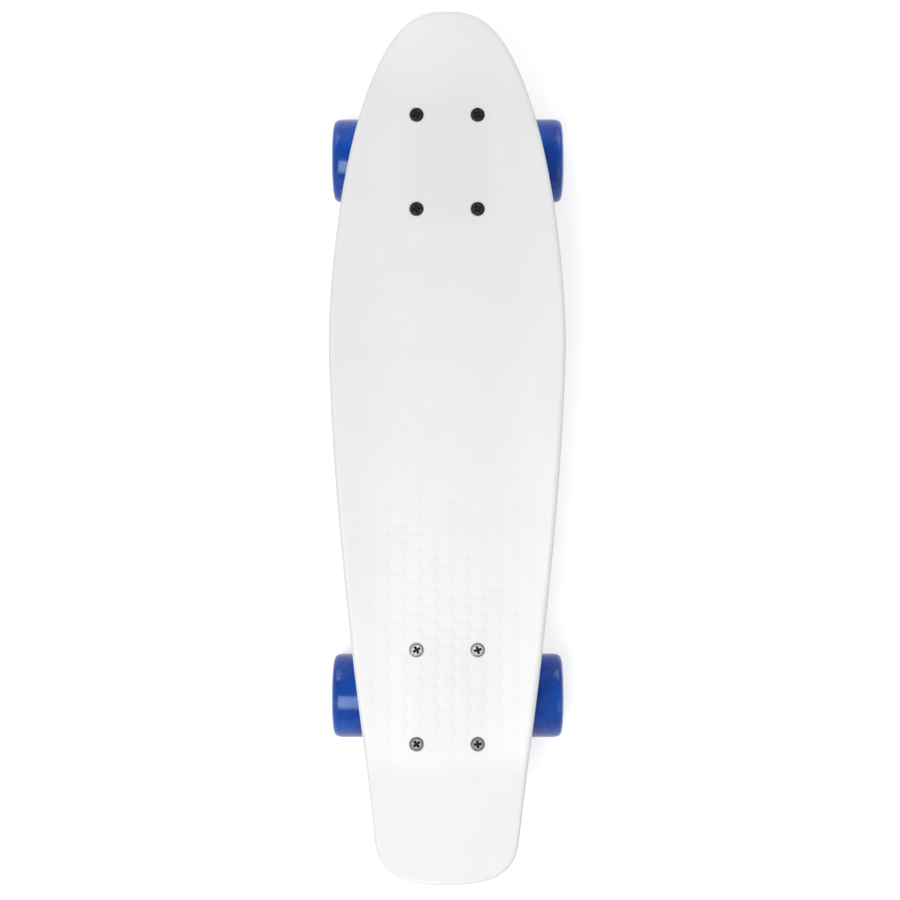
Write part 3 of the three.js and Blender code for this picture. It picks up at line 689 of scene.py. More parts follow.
def deck_block(outline, inward, bolts):
    """The deck without its pockets: the relief on top, a rounded rim, and a flat underside inside it."""

    def inset(distance):
        return outline + inward * distance

    def raised(points, drop):
        heights = deck_height(points[:, 0], points[:, 1]) - drop
        return np.column_stack([points, heights])

    margin = inset(EDGE_ROUNDING + FINE_STEP)
    spans = [
        (COARSE_STEP, -DECK_LENGTH, RELIEF_BACK[0] - FINE_STEP),
        (FINE_STEP, RELIEF_BACK[0], RELIEF_FRONT[1]),
        (COARSE_STEP, RELIEF_FRONT[1] + FINE_STEP, DECK_LENGTH),
    ]
    top_inside = np.concatenate([lattice(margin, *span) for span in spans])
    top_points, top_faces = filled(inset(EDGE_ROUNDING), top_inside)
    foot_inside = lattice(inset(RIM_WIDTH + 1 + COARSE_STEP), 2 * COARSE_STEP, -DECK_LENGTH, DECK_LENGTH)
    foot_points, foot_faces = filled(inset(RIM_WIDTH + 1), foot_inside)

    # From the underside's edge out round the rim and up to the top's edge
    quarter = np.linspace(0, np.pi / 2, 7)[1:]
    profile = [(RIM_WIDTH + 0.5, RIB_DEPTH + 0.15), (RIM_WIDTH + 0.1, RIB_DEPTH + 0.6)]
    for t in quarter:
        profile.append((RIM_WIDTH - 0.25 + 0.25 * math.cos(t), RIM_DEPTH - 0.5 + 0.5 * math.sin(t)))
    for t in quarter - quarter[0]:
        across = RIM_FOOT_ROUNDING * (1 - math.sin(t)) + 0.3
        profile.append((across, RIM_DEPTH - RIM_FOOT_ROUNDING * (1 - math.cos(t))))
    for t in quarter - quarter[0]:
        across = EDGE_ROUNDING * (1 - math.cos(t))
        profile.append((across, EDGE_ROUNDING * (1 - math.sin(t))))

    top = raised(top_points, -relief(*top_points.T, bolts))
    rings = [raised(inset(distance), drop) for distance, drop in profile]
    vertices = np.concatenate([raised(foot_points, RIB_DEPTH), *rings, top])
    count, first = len(outline), len(foot_points)
    top_first = first + count * len(rings)
    starts = [0, *(first + count * i for i in range(len(rings))), top_first]
    faces = [tuple(reversed(face)) for face in foot_faces]
    for low, high in zip(starts, starts[1:]):
        for j in range(count):
            k = (j + 1) % count
            faces.append((low + j, low + k, high + k, high + j))
    faces += [tuple(top_first + i for i in face) for face in top_faces]
    return Shape(vertices, faces)


def clipped(polygon, normal, limit):
    """The part of a convex polygon on the near side of a line."""
    made = []
    for here, after in zip(polygon, np.roll(polygon, -1, 0)):
        past, past_after = here @ normal - limit, after @ normal - limit
        if past <= 0:
            made.append(here)
        if past * past_after < 0:
            made.append(here + (after - here) * past / (past - past_after))
    return np.array(made).reshape(-1, 2)


def shrunk(polygon, distance):
    made = polygon
    for here, after in zip(polygon, np.roll(polygon, -1, 0)):
        along = after - here
        length = np.linalg.norm(along)
        if length < 1e-6 or len(made) < 3:
            continue
        normal = np.array([along[1], -along[0]]) / length
        made = clipped(made, normal, here @ normal - distance)
    return made


def without_short_edges(polygon, shortest=0.05):
    lengths = np.linalg.norm(np.roll(polygon, -1, 0) - polygon, axis=1)
    return polygon[lengths > shortest]


def corner_fans(polygon, step=math.radians(15)):
    """The corners of a convex polygon with the directions that a rounding sweeps at each."""
    bases, directions = [], []
    along = np.roll(polygon, -1, 0) - polygon
    headings = np.arctan2(along[:, 1], along[:, 0]) - np.pi / 2
    for i, corner in enumerate(polygon):
        start = headings[i - 1]
        sweep = (headings[i] - start) % (2 * np.pi)
        count = max(1, math.ceil(sweep / step))
        for share in np.linspace(0, 1, count + 1) if sweep > 0.02 else [0.5]:
            turn = start + sweep * share
            bases.append(corner)
            directions.append((math.cos(turn), math.sin(turn)))
    return np.array(bases), np.array(directions)


def pocket(cell):
    """A pocket between the ribs: rounded corners, drafted walls and a filleted ceiling under the skin."""
    corner, fillet, draft, lip = 3.2, 1.4, 0.3, 0.6
    core = without_short_edges(shrunk(cell, corner))
    if len(core) < 3:
        return None
    bases, directions = corner_fans(core)
    profile = [(lip, 2.0), (lip, 0.0), (0.25 * lip, -0.12 * lip), (0.0, -lip)]
    wall = RIB_DEPTH - SKIN
    for t in np.linspace(0, np.pi / 2, 6):
        profile.append((-draft - fillet * (1 - math.cos(t)), -wall + fillet * (1 - math.sin(t))))
    rings = []

    def add_ring(points, depth):
        rings.append(np.column_stack([points, deck_height(*points.T) - depth]))

    for out, drop in profile:
        add_ring(bases + directions * (corner + out), RIB_DEPTH + drop)
    last = rings[-1][:, :2]
    centre = last.mean(0)
    away = last - centre
    for share in (0.8, 0.6, 0.45):
        add_ring(centre + away * share, SKIN)
    reach = np.linalg.norm(away, axis=1)
    for radius, sink in ((PIN_RADIUS, 0), (PIN_RADIUS - 0.1, PIN_SINK), (PIN_RADIUS / 2, PIN_SINK)):
        add_ring(centre + away / reach[:, None] * min(radius, 0.3 * reach.min()), SKIN - sink)
    add_ring(centre[None], SKIN - PIN_SINK)
    return skin(rings)


def pockets(outline, inward):
    """Every pocket of the underside, between the long ribs and the cross ribs."""
    room = (outline + inward * (RIM_WIDTH + 0.7))[::3]
    lanes = [-DECK_WIDTH, -RIB_SPACING, 0, RIB_SPACING, DECK_WIDTH]
    rib_count = int(DECK_LENGTH // CROSS_RIB_SPACING)
    stations = [(i - (rib_count - 1) / 2) * CROSS_RIB_SPACING for i in range(rib_count)]
    stations = [-DECK_LENGTH, *stations, DECK_LENGTH]
    half_rib = RIB_THICKNESS / 2
    made = []
    for back, front in zip(stations, stations[1:]):
        for right, left in zip(lanes, lanes[1:]):
            cell = room
            for normal, limit in (
                ((1, 0), front - half_rib),
                ((-1, 0), -back - half_rib),
                ((0, 1), left - half_rib),
                ((0, -1), -right - half_rib),
            ):
                if len(cell) > 2:
                    cell = clipped(cell, np.array(normal, float), limit)
            if len(cell) > 2:
                shape = pocket(cell)
                if shape:
                    made.append(shape)
    return merged(made)


def rounded_rectangle(length, width, corner, inset=0.0):
    half = np.array([length / 2 - corner, width / 2 - corner])
    turns = np.linspace(0, np.pi / 2, 9)
    points = []
    for i, (sx, sy) in enumerate(((1, 1), (-1, 1), (-1, -1), (1, -1))):
        for turn in turns + i * np.pi / 2:
            points.append(half * (sx, sy) + (corner - inset) * np.array([math.cos(turn), math.sin(turn)]))
    return np.array(points)


def flat_ring(points, height):
    return np.column_stack([points, np.full(len(points), height)])


def mounting_pad(truck):
    centre, size = pad_box(truck)
    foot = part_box(f"{truck}_baseplate")[1].z / MM + CLEARANCE
    rings = []
    for t in np.linspace(0, np.pi / 2, 6):
        inset = 1.2 * (1 - math.sin(t))
        points = rounded_rectangle(size.x, size.y, PAD_CORNER, inset)
        rings.append(flat_ring(points, foot + 1.2 * (1 - math.cos(t))))
    points = rounded_rectangle(size.x + 1, size.y + 1, PAD_CORNER)
    rings.append(flat_ring(points, DECK_TOP - SKIN / 2))
    return skin(rings).moved(Matrix.Translation((centre.x, centre.y, 0)))


def bolt_hole(centre, foot):
    """The hole and countersink for a bolt, with a small chamfer at the surface."""
    surface = centre.z
    head = BOLT_HEAD_RADIUS + CLEARANCE
    profile = [
        (0, foot - 2),
        (BOLT_RADIUS + CLEARANCE, foot - 2),
        (BOLT_RADIUS + CLEARANCE, surface - BOLT_HEAD_HEIGHT),
        (head, surface),
        (head + 0.05, DECK_TOP - 0.12),
        (head + 0.3, DECK_TOP + 0.12),
        (head + 0.3, DECK_TOP + 2),
        (0, DECK_TOP + 2),
    ]
    return turned(profile, 64).moved(Matrix.Translation((centre.x, centre.y, 0)))


def make_deck():
    outline, inward = deck_outline()
    bolts = [Vector(top_of(node)) / MM for node in bolt_nodes("bolt")]
    deck = make_object("deck_moulding", deck_block(outline, inward, bolts), ["deck"])
    cut(deck, None, pockets(outline, inward))
    for truck in TRUCKS:
        combine(deck, "UNION", mounting_pad(truck))
    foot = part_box("front_baseplate")[1].z / MM
    cut(deck, None, merged([bolt_hole(centre, foot) for centre in bolts]))
    shade(deck)
    stand_for(deck, "deck")


# Threads, nuts and bolts


def thread(radius, low, high, pitch, steps):
    """A threaded rod's rings between two heights: the ridge runs round as a helix."""
    turn = np.arange(steps) / steps
    rows = int(round((high - low) / pitch * THREAD_ROWS))
    rings = []
    for height in np.linspace(low, high, rows + 1):
        phase = (height / pitch - turn) % 1
        ends = min(1, (height - low) / pitch, (high - height) / pitch)
        depth = THREAD_DEPTH * pitch * ends * np.abs(2 * phase - 1)
        rings.append(circle(radius - depth, height, steps))
    return rings


def hexagon_radius(across_flats, steps):
    turn = np.arange(steps) * 2 * np.pi / steps
    return across_flats / 2 / np.cos((turn % (np.pi / 3)) - np.pi / 6)


def chamfer_rings(sides, face, levels):
    """Rings of a six-sided head that grow from its round face to its full corners."""
    return [np.minimum(sides, face + share * (sides.max() - face)) for share in levels]


def nut(across_flats, height, bore, collar, steps):
    """A chamfered nut around +Z from zero up. The collar's share of its height holds a nylon ring."""
    sides = hexagon_radius(across_flats, steps)
    face = across_flats / 2 * HEX_FACE
    top = height * (1 - collar)
    drop = (sides.max() - face) * math.tan(HEX_CHAMFER)
    rise = np.linspace(0, 1, 6)
    lower = chamfer_rings(sides, face, rise)
    neck = across_flats * 0.455
    ring = bore + 0.42 * (neck - bore)
    profile = [(neck, top, 0.2), (neck, height, 0.7), (ring + 0.3, height, 0.3)]
    profile += [(ring, height - 0.5, 0.1), (bore - 0.1, height - 0.5, 0.3), (bore - 0.1, top)]
    section = [(bore, 0.5), (bore + 0.5, 0.0), *zip(lower, rise * drop)]
    section += [*zip(lower[::-1], top - rise[::-1] * drop), *rounded(profile)[5:-1], (bore, top)]
    made = skin(stack(section, steps), loop=True)
    return made.painted(1, lambda r, z: (r < ring) & (z > top + 0.1))


def add_nut(node, place, axis, bore, collar=0.3, steps=96):
    """A lock nut that stands on its place's low end. Its flats are measured along one of the axes XYZ."""
    low, high, _ = measure(node, place)
    box_low, box_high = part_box(node)
    across_flats = (box_high - box_low)["XYZ".index(axis)] / MM
    shape = nut(across_flats, high - low, bore, collar, steps)
    place = place @ Matrix.Translation((0, 0, low * MM))
    add_piece(node, "nylock", shape, ["zinc", "nylon"], place)


def cross_recess(depth, length, width):
    """A tapered cross that a screwdriver's point leaves, with its mouth just above zero."""
    rings = []
    for level, share in ((0.4, 1.0), (0.0, 1.0), (-0.35 * depth, 0.84), (-depth, 0.42)):
        long, half = length / 2 * share, width / 2 * (0.55 + 0.45 * share)
        arm = [(long, -half), (long + 0.12 * width, 0), (long, half), (half * 1.15, half * 1.15)]
        points = []
        for quarter in range(4):
            turn = Matrix.Rotation(quarter * math.pi / 2, 2)
            points += [turn @ Vector(point) for point in arm]
        rings.append(flat_ring(np.array(points), level))
    return skin(rings[::-1])


def make_bolt(node, turn):
    low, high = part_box(node)
    place = Matrix.Translation(top_of(node)) @ Matrix.Rotation(math.radians(turn), 4, "Z")
    length = (high.z - low.z) / MM
    steps = 72
    neck = -BOLT_HEAD_HEIGHT
    head = rounded(
        [
            (BOLT_RADIUS - 0.05, neck - 3.2),
            (BOLT_RADIUS, neck - 3.0),
            (BOLT_RADIUS, neck + 0.2, 0.4),
            (BOLT_HEAD_RADIUS, -0.62, 0.15),
            (BOLT_HEAD_RADIUS * 0.97, -0.45, 0.15),
            (BOLT_HEAD_RADIUS * 0.8, 0.0, 0.3),
            (BOLT_HEAD_RADIUS * 0.65, 0.0),
            (0, 0.0),
        ]
    )
    rings = stack([(0, -length), (BOLT_RADIUS - 0.5, -length)], steps)
    rings += thread(BOLT_RADIUS, 0.3 - length, neck - 3.5, BOLT_PITCH, steps)
    rings += stack(head, steps)
    black = node.startswith("front")
    # Rear bolts: the inner row takes the lighter copy and the outer row the darker one, as painted reflection
    finish = "black" if black else "bright" if "inner" in node else "shaded_copy"
    bolt = make_object(f"{node}_screw", skin(rings), [finish, "recess"], place)
    cut(bolt, place, cross_recess(1.9, 5.3, 1.65))
    # Faces inside the cross recess take the near-black metal, which in the lighter rear bolts is painted shade
    for face in bolt.data.polygons:
        inside = face.center.xy.length < 3.2 * MM and -2 * MM < face.center.z < -0.02 * MM
        face.material_index = int(inside and face.center.z > neck * MM)
    shade(bolt)
    stand_for(bolt, node)


def make_lock_nut(node):
    add_nut(node, Matrix.Translation(middle(node)) @ UPSIDE_DOWN, "Y", BOLT_RADIUS + 0.15, steps=72)


def bolt_nodes(ending, trucks=TRUCKS):
    return [
        f"{truck}_{row}_{side}_{ending}"
        for truck in trucks
        for row in ("outer", "inner")
        for side in SIDES
    ]


# Wheels and what turns in them


def wheel_place(name, outward):
    """The wheel's centre, with +Z pointing out of the board and +X forward."""
    centre = Vector(JOINTS[f"{name}_spin"]["pos_m"])
    return turn_to((0, outward, 0), (1, 0, 0), centre)


def wheel_profile(radius, half):
    """The section of a wheel, anticlockwise: tread, rounded shoulders, lips and dished faces."""
    shoulder = [(0, 15.5), (0.3, 17.9), (1.0, 19.7), (2.2, 20.95), (4.4, 21.7), (7.5, half - 0.3)]
    shoulder = [(radius - drop, across) for drop, across in shoulder]
    shoulder = smooth_line([*shoulder, (17.9, half - 0.04)], 7)
    seat, bore, wall = 4.7, 9.5, 11.32
    dish = [(17.4, half, 0.5), (16.2, half - 0.35, 0.8), (14.2, 17.0, 3.0), (12.6, 12.6, 1.0)]
    dish += [(wall, 12.0, 0.4), (wall, seat, 0.3), (bore, seat, 0.3)]
    inner = rounded([shoulder[-1], *dish, (bore, 0)])[1:-1]
    upper = [(radius, 8.0), *shoulder, *inner]
    lower = [(r, -z) for r, z in upper]
    return [*lower[::-1], (radius, 0), *upper, (bore, 0)]


def make_wheel(name, outward):
    node = f"{name}_wheel"
    place = wheel_place(name, outward)
    half = measure(node, place)[1]
    shape = turned(wheel_profile(place.translation.z / MM, half), 144)
    wheel = make_object(f"{node}_tyre", shape, ["wheel"], place)
    wheel.data.shade_smooth()
    stand_for(wheel, node)


def make_bearing(name, where, outward):
    node = f"{name}_{where}_bearing"
    place = wheel_place(name, outward if where == "outer" else -outward)
    low, high, radius = measure(node, place)
    half, centre = (high - low) / 2, centre_of(low, high)
    bore = 6.3
    upper = [
        (radius, half, 0.35),
        (radius - 1.5, half, 0.15),
        (radius - 1.6, half - 0.35, 0.1),
        (radius - 2.0, half - 0.2, 0.15),
        (bore + 0.9, half - 0.3, 0.2),
        (bore + 0.6, half - 0.5, 0.15),
        (bore, half - 0.5, 0.15),
    ]
    shape = turned([(r, z + centre) for r, z in rounded(mirrored(upper))], 96)
    shape.painted(1, lambda r, z: (r < radius - 1.62) & (np.abs(z - centre) > half - 0.6))
    add_piece(node, "race", shape, ["bearing", "shield"], place)


def make_spacer(name, outward):
    """The inner races with their speed rings and the spacer between them, which stand still."""
    node = f"{name}_bearing_spacer"
    place = wheel_place(name, outward)
    end = measure(node, place)[1]
    ring, race, tube, bore = 5.5, 5.9, 5.2, AXLE_BORE
    upper = [
        (tube, 4.9, 0.1),
        (race, 5.0, 0.3),
        (race, end - 1.05, 0.3),
        (ring - 0.25, end - 0.98, 0.05),
        (ring, end - 0.9, 0.1),
        (ring, end, 0.2),
        (bore, end, 0.2),
    ]
    add_piece(node, "sleeve", turned(rounded(mirrored(upper)), 72), ["steel"], place)


def make_axle(truck):
    node = f"{truck}_axle"
    place = turn_to((0, 1, 0), (1, 0, 0), middle(node))
    low, high, radius = measure(node, place)
    threaded, edge, dimple = 10.5, 0.7, 1.1
    steps = 48
    rings = stack([(0, low + edge), (dimple, low), (radius - edge, low)], steps)
    rings += thread(radius, low + 0.25, low + threaded, TRUCK_PITCH, steps)
    rings += stack([(radius, low + threaded + 0.3), (radius, high - threaded - 0.3)], steps)
    rings += thread(radius, high - threaded, high - 0.25, TRUCK_PITCH, steps)
    rings += stack([(radius - edge, high), (dimple, high), (0, high - edge)], steps)
    add_piece(node, "rod", skin(rings), ["steel"], place)


# The trucks


def truck_place(truck):
    """Zero on the baseplate's top over the bolts' middle, with +X pointing out to the nose or the tail."""
    low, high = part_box(f"{truck}_baseplate")
    origin = Vector(((low.x + high.x) / 2, 0, high.z))
    return turn_to((0, 0, 1), (TRUCKS[truck], 0, 0), origin)


def kingpin_place(truck):
    """The middle of the hanger's ring, with +Z up along the kingpin."""
    ring = Vector(JOINTS[f"{truck}_steer"]["pos_m"])
    up = middle(f"{truck}_boardside_bushing") - ring
    return turn_to((up.x, 0, up.z), (TRUCKS[truck], 0, 0), ring)


def steering_place(truck):
    """The middle of the hanger's ring, with +Z along the steering axis towards the pivot cup."""
    joint = JOINTS[f"{truck}_steer"]
    axis = Vector(joint["axis"])
    if axis.x * TRUCKS[truck] < 0:
        axis = -axis
    return turn_to(axis, (-TRUCKS[truck] * 0.5, 0, 1), Vector(joint["pos_m"]))


def relative(place, base):
    """A place seen from another, for shapes in millimetres."""
    made = base.inverted() @ place
    made.translation = made.translation / MM
    return made


def cast_piece(name, shapes, room, place):
    """A casting: rough shapes melted together with fillets where they meet, kept inside a room."""
    finishes = ["cast", "machined"]
    piece = make_object(name, merged(shapes), finishes, place)
    voxels = {"mode": "VOXEL", "voxel_size": CAST_VOXEL * MM}
    modify(piece, "melt", "REMESH", **voxels)
    combine(piece, "INTERSECT", room, place)
    modify(piece, "trim", "REMESH", **voxels)
    modify(piece, "soften", "SMOOTH", factor=0.5, iterations=9)
    if not piece.data.materials:
        for finish in finishes:
            piece.data.materials.append(FINISHES[finish])
    return piece


def bright_where(piece, kingpin, machined):
    """Paints machined faces. The test gets a face's middle and normal in millimetres, the normal's
    share along the kingpin and the middle's height on it."""
    to_kingpin = kingpin.inverted()
    along = kingpin.to_3x3() @ Vector((0, 0, 1))
    for face in piece.data.polygons:
        at = face.center / MM
        slope, level = face.normal.dot(along), (to_kingpin @ at).z
        face.material_index = int(machined(at, face.normal, slope, level))


def prism(points, low, high):
    return skin([flat_ring(points, low), flat_ring(points, high)])


def block(low, high):
    points = [(low[0], low[1]), (high[0], low[1]), (high[0], high[1]), (low[0], high[1])]
    return prism(np.array(points, float), low[2], high[2])


def rod_shape(radius, low, high, steps=64):
    return turned([(0, low), (radius, low), (radius, high), (0, high)], steps)


def make_baseplate(truck):
    node = f"{truck}_baseplate"
    place = truck_place(truck)
    low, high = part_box(node)
    length, width = (high.x - low.x) / MM, (high.y - low.y) / MM
    kingpin = relative(kingpin_place(truck), place)
    pivot = relative(steering_place(truck), place)
    cup_low, cup_high, _ = measure(f"{truck}_pivot_cup", steering_place(truck))
    foot = measure(f"{truck}_boardside_washer", kingpin_place(truck))[1] + CLEARANCE
    web, rail, rail_place = 2.2, 1.6, 11.5
    flare = [(0, foot + 4), (BOSS_RADIUS, foot + 4), (BOSS_RADIUS + 6, foot + 12), (0, foot + 14)]
    shapes = [
        prism(rounded_rectangle(length, width, PAD_CORNER), -PLATE_THICKNESS, 3),
        rod_shape(BOSS_RADIUS, foot, 48).moved(kingpin),
        turned(flare, 64).moved(kingpin),
        rod_shape(CUP_RADIUS + CUP_WALL, cup_low + 1.8, cup_high + 3.2).moved(pivot),
        block((6, -web, -14), (30, web, -2)),
    ]
    shapes += [block((-30, y - rail, -10), (30, y + rail, -2)) for y in (-rail_place, rail_place)]
    room = prism(rounded_rectangle(length - 0.2, width - 0.2, PAD_CORNER), -40, 2.5)
    plate = cast_piece(f"{node}_casting", shapes, room, place)
    head_seat = measure(f"{truck}_kingpin", kingpin_place(truck))[1] - KINGPIN_HEAD

    def at_each(ending, shape):
        found = []
        for fastener in bolt_nodes(ending, [truck]):
            where = place.inverted() @ middle(fastener) / MM
            found.append(shape.moved(Matrix.Translation((where.x, where.y, 0))))
        return found

    cut(
        plate,
        place,
        block((-60, -40, 0), (60, 40, 20)),
        rod_shape(KINGPIN_RADIUS + CLEARANCE, -5, 60).moved(kingpin),
        rod_shape(WRENCH_RADIUS, head_seat - CLEARANCE, 80).moved(kingpin),
        rod_shape(BOSS_RADIUS + 6, foot - 8, foot).moved(kingpin),
        rod_shape(CUP_RADIUS + CLEARANCE, cup_low - 20, cup_high + CLEARANCE).moved(pivot),
        rod_shape(CUP_RADIUS + 6, cup_low - 8, cup_low + CUP_LIP + CLEARANCE).moved(pivot),
        merged(at_each("bolt", rod_shape(BOLT_RADIUS + CLEARANCE, -20, 10, 48))),
        *at_each("lock_nut", rod_shape(SPOT_RADIUS, -30, SPOT_FACE - PLATE_THICKNESS, 48)),
    )

    def machined(at, normal, slope, level):
        seat = normal.z < -SQUARE and abs(at.z + PLATE_THICKNESS - SPOT_FACE) < NEAR
        return seat or (slope < -SQUARE and abs(level - foot) < NEAR)

    bright_where(plate, kingpin, machined)
    shade(plate)
    stand_for(plate, node)


def hanger_web(kingpin, pivot, axle, stub_root):
    """The web between the ring, the stub and the beam, drawn in the truck's side view."""
    ring = kingpin.translation
    ring_up = kingpin.to_3x3() @ Vector((0, 0, 1))
    ring_out = Vector((ring_up.z, 0, -ring_up.x))
    stub_out = pivot.to_3x3() @ Vector((0, 0, 1))
    stub_up = Vector((-stub_out.z, 0, stub_out.x))
    root = ring + stub_out * stub_root
    half = RING_THICKNESS / 2 - 0.6
    wide, narrow = 8.2, 6.2
    corners = [
        (ring + ring_up * half + ring_out * 13.6, wide),
        (ring - ring_up * half + ring_out * 13.6, wide),
        (axle - Vector((BEAM_NECK_RADIUS, 0, 0)), wide),
        (axle + Vector((BEAM_NECK_RADIUS, 0, 0)), wide),
        (root - stub_up * 5.6, narrow),
        (root + stub_up * 4.4, narrow),
    ]
    sections = []
    for side in (-1, 1):
        sections.append(np.array([(corner.x, side * y, corner.z) for corner, y in corners]))
    return skin(sections)


def make_hanger(truck):
    node = f"{truck}_hanger"
    place = truck_place(truck)
    kingpin = relative(kingpin_place(truck), place)
    pivot = relative(steering_place(truck), place)
    axle_middle = relative(Matrix.Translation(middle(f"{truck}_axle")), place).translation
    axle = Matrix.Translation(axle_middle) @ Matrix.Rotation(-math.pi / 2, 4, "X")
    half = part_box(node)[1].y / MM
    ball = measure(f"{truck}_pivot_cup", steering_place(truck))[0] + BALL_IN
    seat_radius = measure(f"{truck}_boardside_bushing", kingpin_place(truck))[2] + CLEARANCE
    beam = [
        (0, 0),
        (BEAM_RADIUS, 0),
        (BEAM_RADIUS, 12),
        (BEAM_RADIUS - 0.3, 17),
        (BEAM_NECK_RADIUS + 0.4, 28),
        (BEAM_NECK_RADIUS - 0.5, 34),
        (BEAM_END_RADIUS, 40),
        (BEAM_END_RADIUS, half + 2),
        (0, half + 2),
    ]
    ring_half = RING_THICKNESS / 2
    ring_wall, tip = 3.3, 4.55
    stub = [(0, ball - 22), (6, ball - 22), (6, ball - 17), (4.7, ball - 12), (tip, ball)]
    stub += [(tip * math.cos(t), ball + tip * math.sin(t)) for t in np.linspace(0.3, 1.3, 5)]
    stub += [(0, ball + 4.6)]
    shapes = [
        turned([(r, -z) for r, z in beam[:0:-1]] + beam[1:], 72).moved(axle),
        rod_shape(seat_radius + ring_wall, -ring_half - 1, ring_half + 1, 96).moved(kingpin),
        turned(stub, 48).moved(pivot),
        hanger_web(kingpin, pivot, axle_middle, ball - 14.5),
    ]
    room = block((-60, -half - 1, -80), (60, half + 1, 10))
    hanger = cast_piece(f"{node}_casting", shapes, room, place)
    seat = ring_half - RING_SEAT_DEPTH
    cut(
        hanger,
        place,
        block((-60, -half - 10, -80), (60, -half, 10)),
        block((-60, half, -80), (60, half + 10, 10)),
        rod_shape(RING_BORE, -20, 20, 96).moved(kingpin),
        rod_shape(seat_radius + 8, ring_half, 17, 96).moved(kingpin),
        rod_shape(seat_radius, seat, 10, 96).moved(kingpin),
        rod_shape(seat_radius - 1.0, -27, -seat, 96).moved(kingpin),
        rod_shape(AXLE_BORE, -60, 60, 48).moved(axle),
    )

    def machined(at, normal, slope, level):
        end = abs(normal.y) > SQUARE and abs(abs(at.y) - half) < NEAR
        rim = slope > SQUARE and abs(level - ring_half) < NEAR
        return end or rim or (abs(slope) > SQUARE and abs(abs(level) - seat) < NEAR)

    bright_where(hanger, kingpin, machined)
    shade(hanger)
    stand_for(hanger, node)


def make_kingpin(truck):
    node = f"{truck}_kingpin"
    place = kingpin_place(truck)
    low, high, _ = measure(node, place)
    threaded, steps = 16, 96
    sides = hexagon_radius(KINGPIN_HEX, steps)
    seat = high - KINGPIN_HEAD
    face = KINGPIN_HEX / 2 * HEX_FACE
    drop = (sides.max() - face) * math.tan(HEX_CHAMFER)
    levels = np.linspace(1, 0, 6)
    rings = stack([(0, low), (KINGPIN_RADIUS - 0.8, low)], steps)
    rings += thread(KINGPIN_RADIUS, low + 0.3, low + threaded, TRUCK_PITCH, steps)
    head = [(KINGPIN_RADIUS, low + threaded + 0.3), (KINGPIN_RADIUS, seat)]
    head += [(sides * 0.97, seat), (sides, seat + 0.3)]
    head += [*zip(chamfer_rings(sides, face, levels), high - levels * drop), (0, high)]
    rings += stack(head, steps)
    add_piece(node, "bolt", skin(rings), ["zinc"], place)


def make_bushings(truck):
    """A barrel and a cone between the board at one end and the hanger at the other."""
    bore, tip = 5.15, 9.0
    place = kingpin_place(truck)
    share = np.linspace(0, 1, 13)
    for where in ("boardside", "roadside"):
        node = f"{truck}_{where}_bushing"
        low, high, radius = measure(node, place)
        if where == "boardside":
            radii = radius - 0.35 - 0.45 * (2 * share - 1) ** 2
            low_face = high_face = radius - 1.1
            bend = (high, low)
        else:
            radii = tip + (radius - tip) * share - 0.15
            low_face, high_face = tip - 0.5, radius - 0.6
            bend = (low, high)
        outside = list(zip(radii, low + 0.7 + (high - low - 1.4) * share))
        inside = [(bore, height) for _, height in outside[::-1]]
        start = rounded([(bore, low, 0.3), (low_face, low, 0.6), outside[0]])
        end = rounded([outside[-1], (high_face, high, 0.6), (bore, high, 0.3), inside[0]])
        profile = [*start[:-1], *outside, *end[1:-1], *inside]
        made = make_object(f"{node}_rubber", turned(profile, 80), ["bushing"], place)
        made.data.shade_smooth()
        made.data.set_sharp_from_angle(angle=math.radians(50))
        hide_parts(node)
        first, last = [place @ Vector((0, 0, height * MM)) for height in bend]
        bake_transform(made)
        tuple(first)
        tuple(last)


def make_washer(node, place, outward):
    """A cupped washer of pressed sheet, its lip on the low side."""
    low, high, radius = measure(node, place)
    if outward < 0:
        place = place @ UPSIDE_DOWN
        low, high = -high, -low
    bore = KINGPIN_RADIUS + CLEARANCE
    profile = [
        (bore, high - WASHER_THICKNESS, 0.15),
        (radius - 1.25, high - WASHER_THICKNESS, 0.7),
        (radius - 1.05, low, 0.2),
        (radius, low, 0.25),
        (radius - 0.1, high, 1.5),
        (bore, high, 0.2),
    ]
    add_piece(node, "cup", turned(rounded(profile, 6), 96), ["zinc"], place)


def make_pivot_cup(truck):
    node = f"{truck}_pivot_cup"
    place = steering_place(truck)
    low, high, lip = measure(node, place)
    bore = 4.9
    ball = low + BALL_IN
    dome = [(bore * math.sin(t), ball + bore * math.cos(t)) for t in np.linspace(0.2, math.pi / 2, 9)]
    corners = [
        dome[-1],
        (bore, low, 0.5),
        (lip, low, 0.4),
        (lip, low + CUP_LIP, 0.3),
        (CUP_RADIUS, low + CUP_LIP, 0.1),
        (CUP_RADIUS, high, 0.8),
        (0, high),
    ]
    profile = [(0, ball + bore), *dome[:-1], *rounded(corners)]
    add_piece(node, "seat", turned(profile, 64), ["cup"], place)


def make_truck(truck):
    make_baseplate(truck)
    make_hanger(truck)
    make_axle(truck)
    make_kingpin(truck)
    add_nut(f"{truck}_kingpin_nut", kingpin_place(truck) @ UPSIDE_DOWN, "Y", KINGPIN_RADIUS + 0.1)
    make_bushings(truck)
    for where, outward in (("boardside", 1), ("roadside", -1)):
        make_washer(f"{truck}_{where}_washer", kingpin_place(truck), outward)
    make_pivot_cup(truck)
    for side, outward in SIDES.items():
        name = f"{truck}_{side}"
        make_wheel(name, outward)
        for where in ("inner", "outer"):
            make_bearing(name, where, outward)
        make_spacer(name, outward)
        add_nut(f"{name}_axle_nut", wheel_place(name, outward), "Z", AXLE_RADIUS + 0.1, 0.28)


# Stage, lights and camera

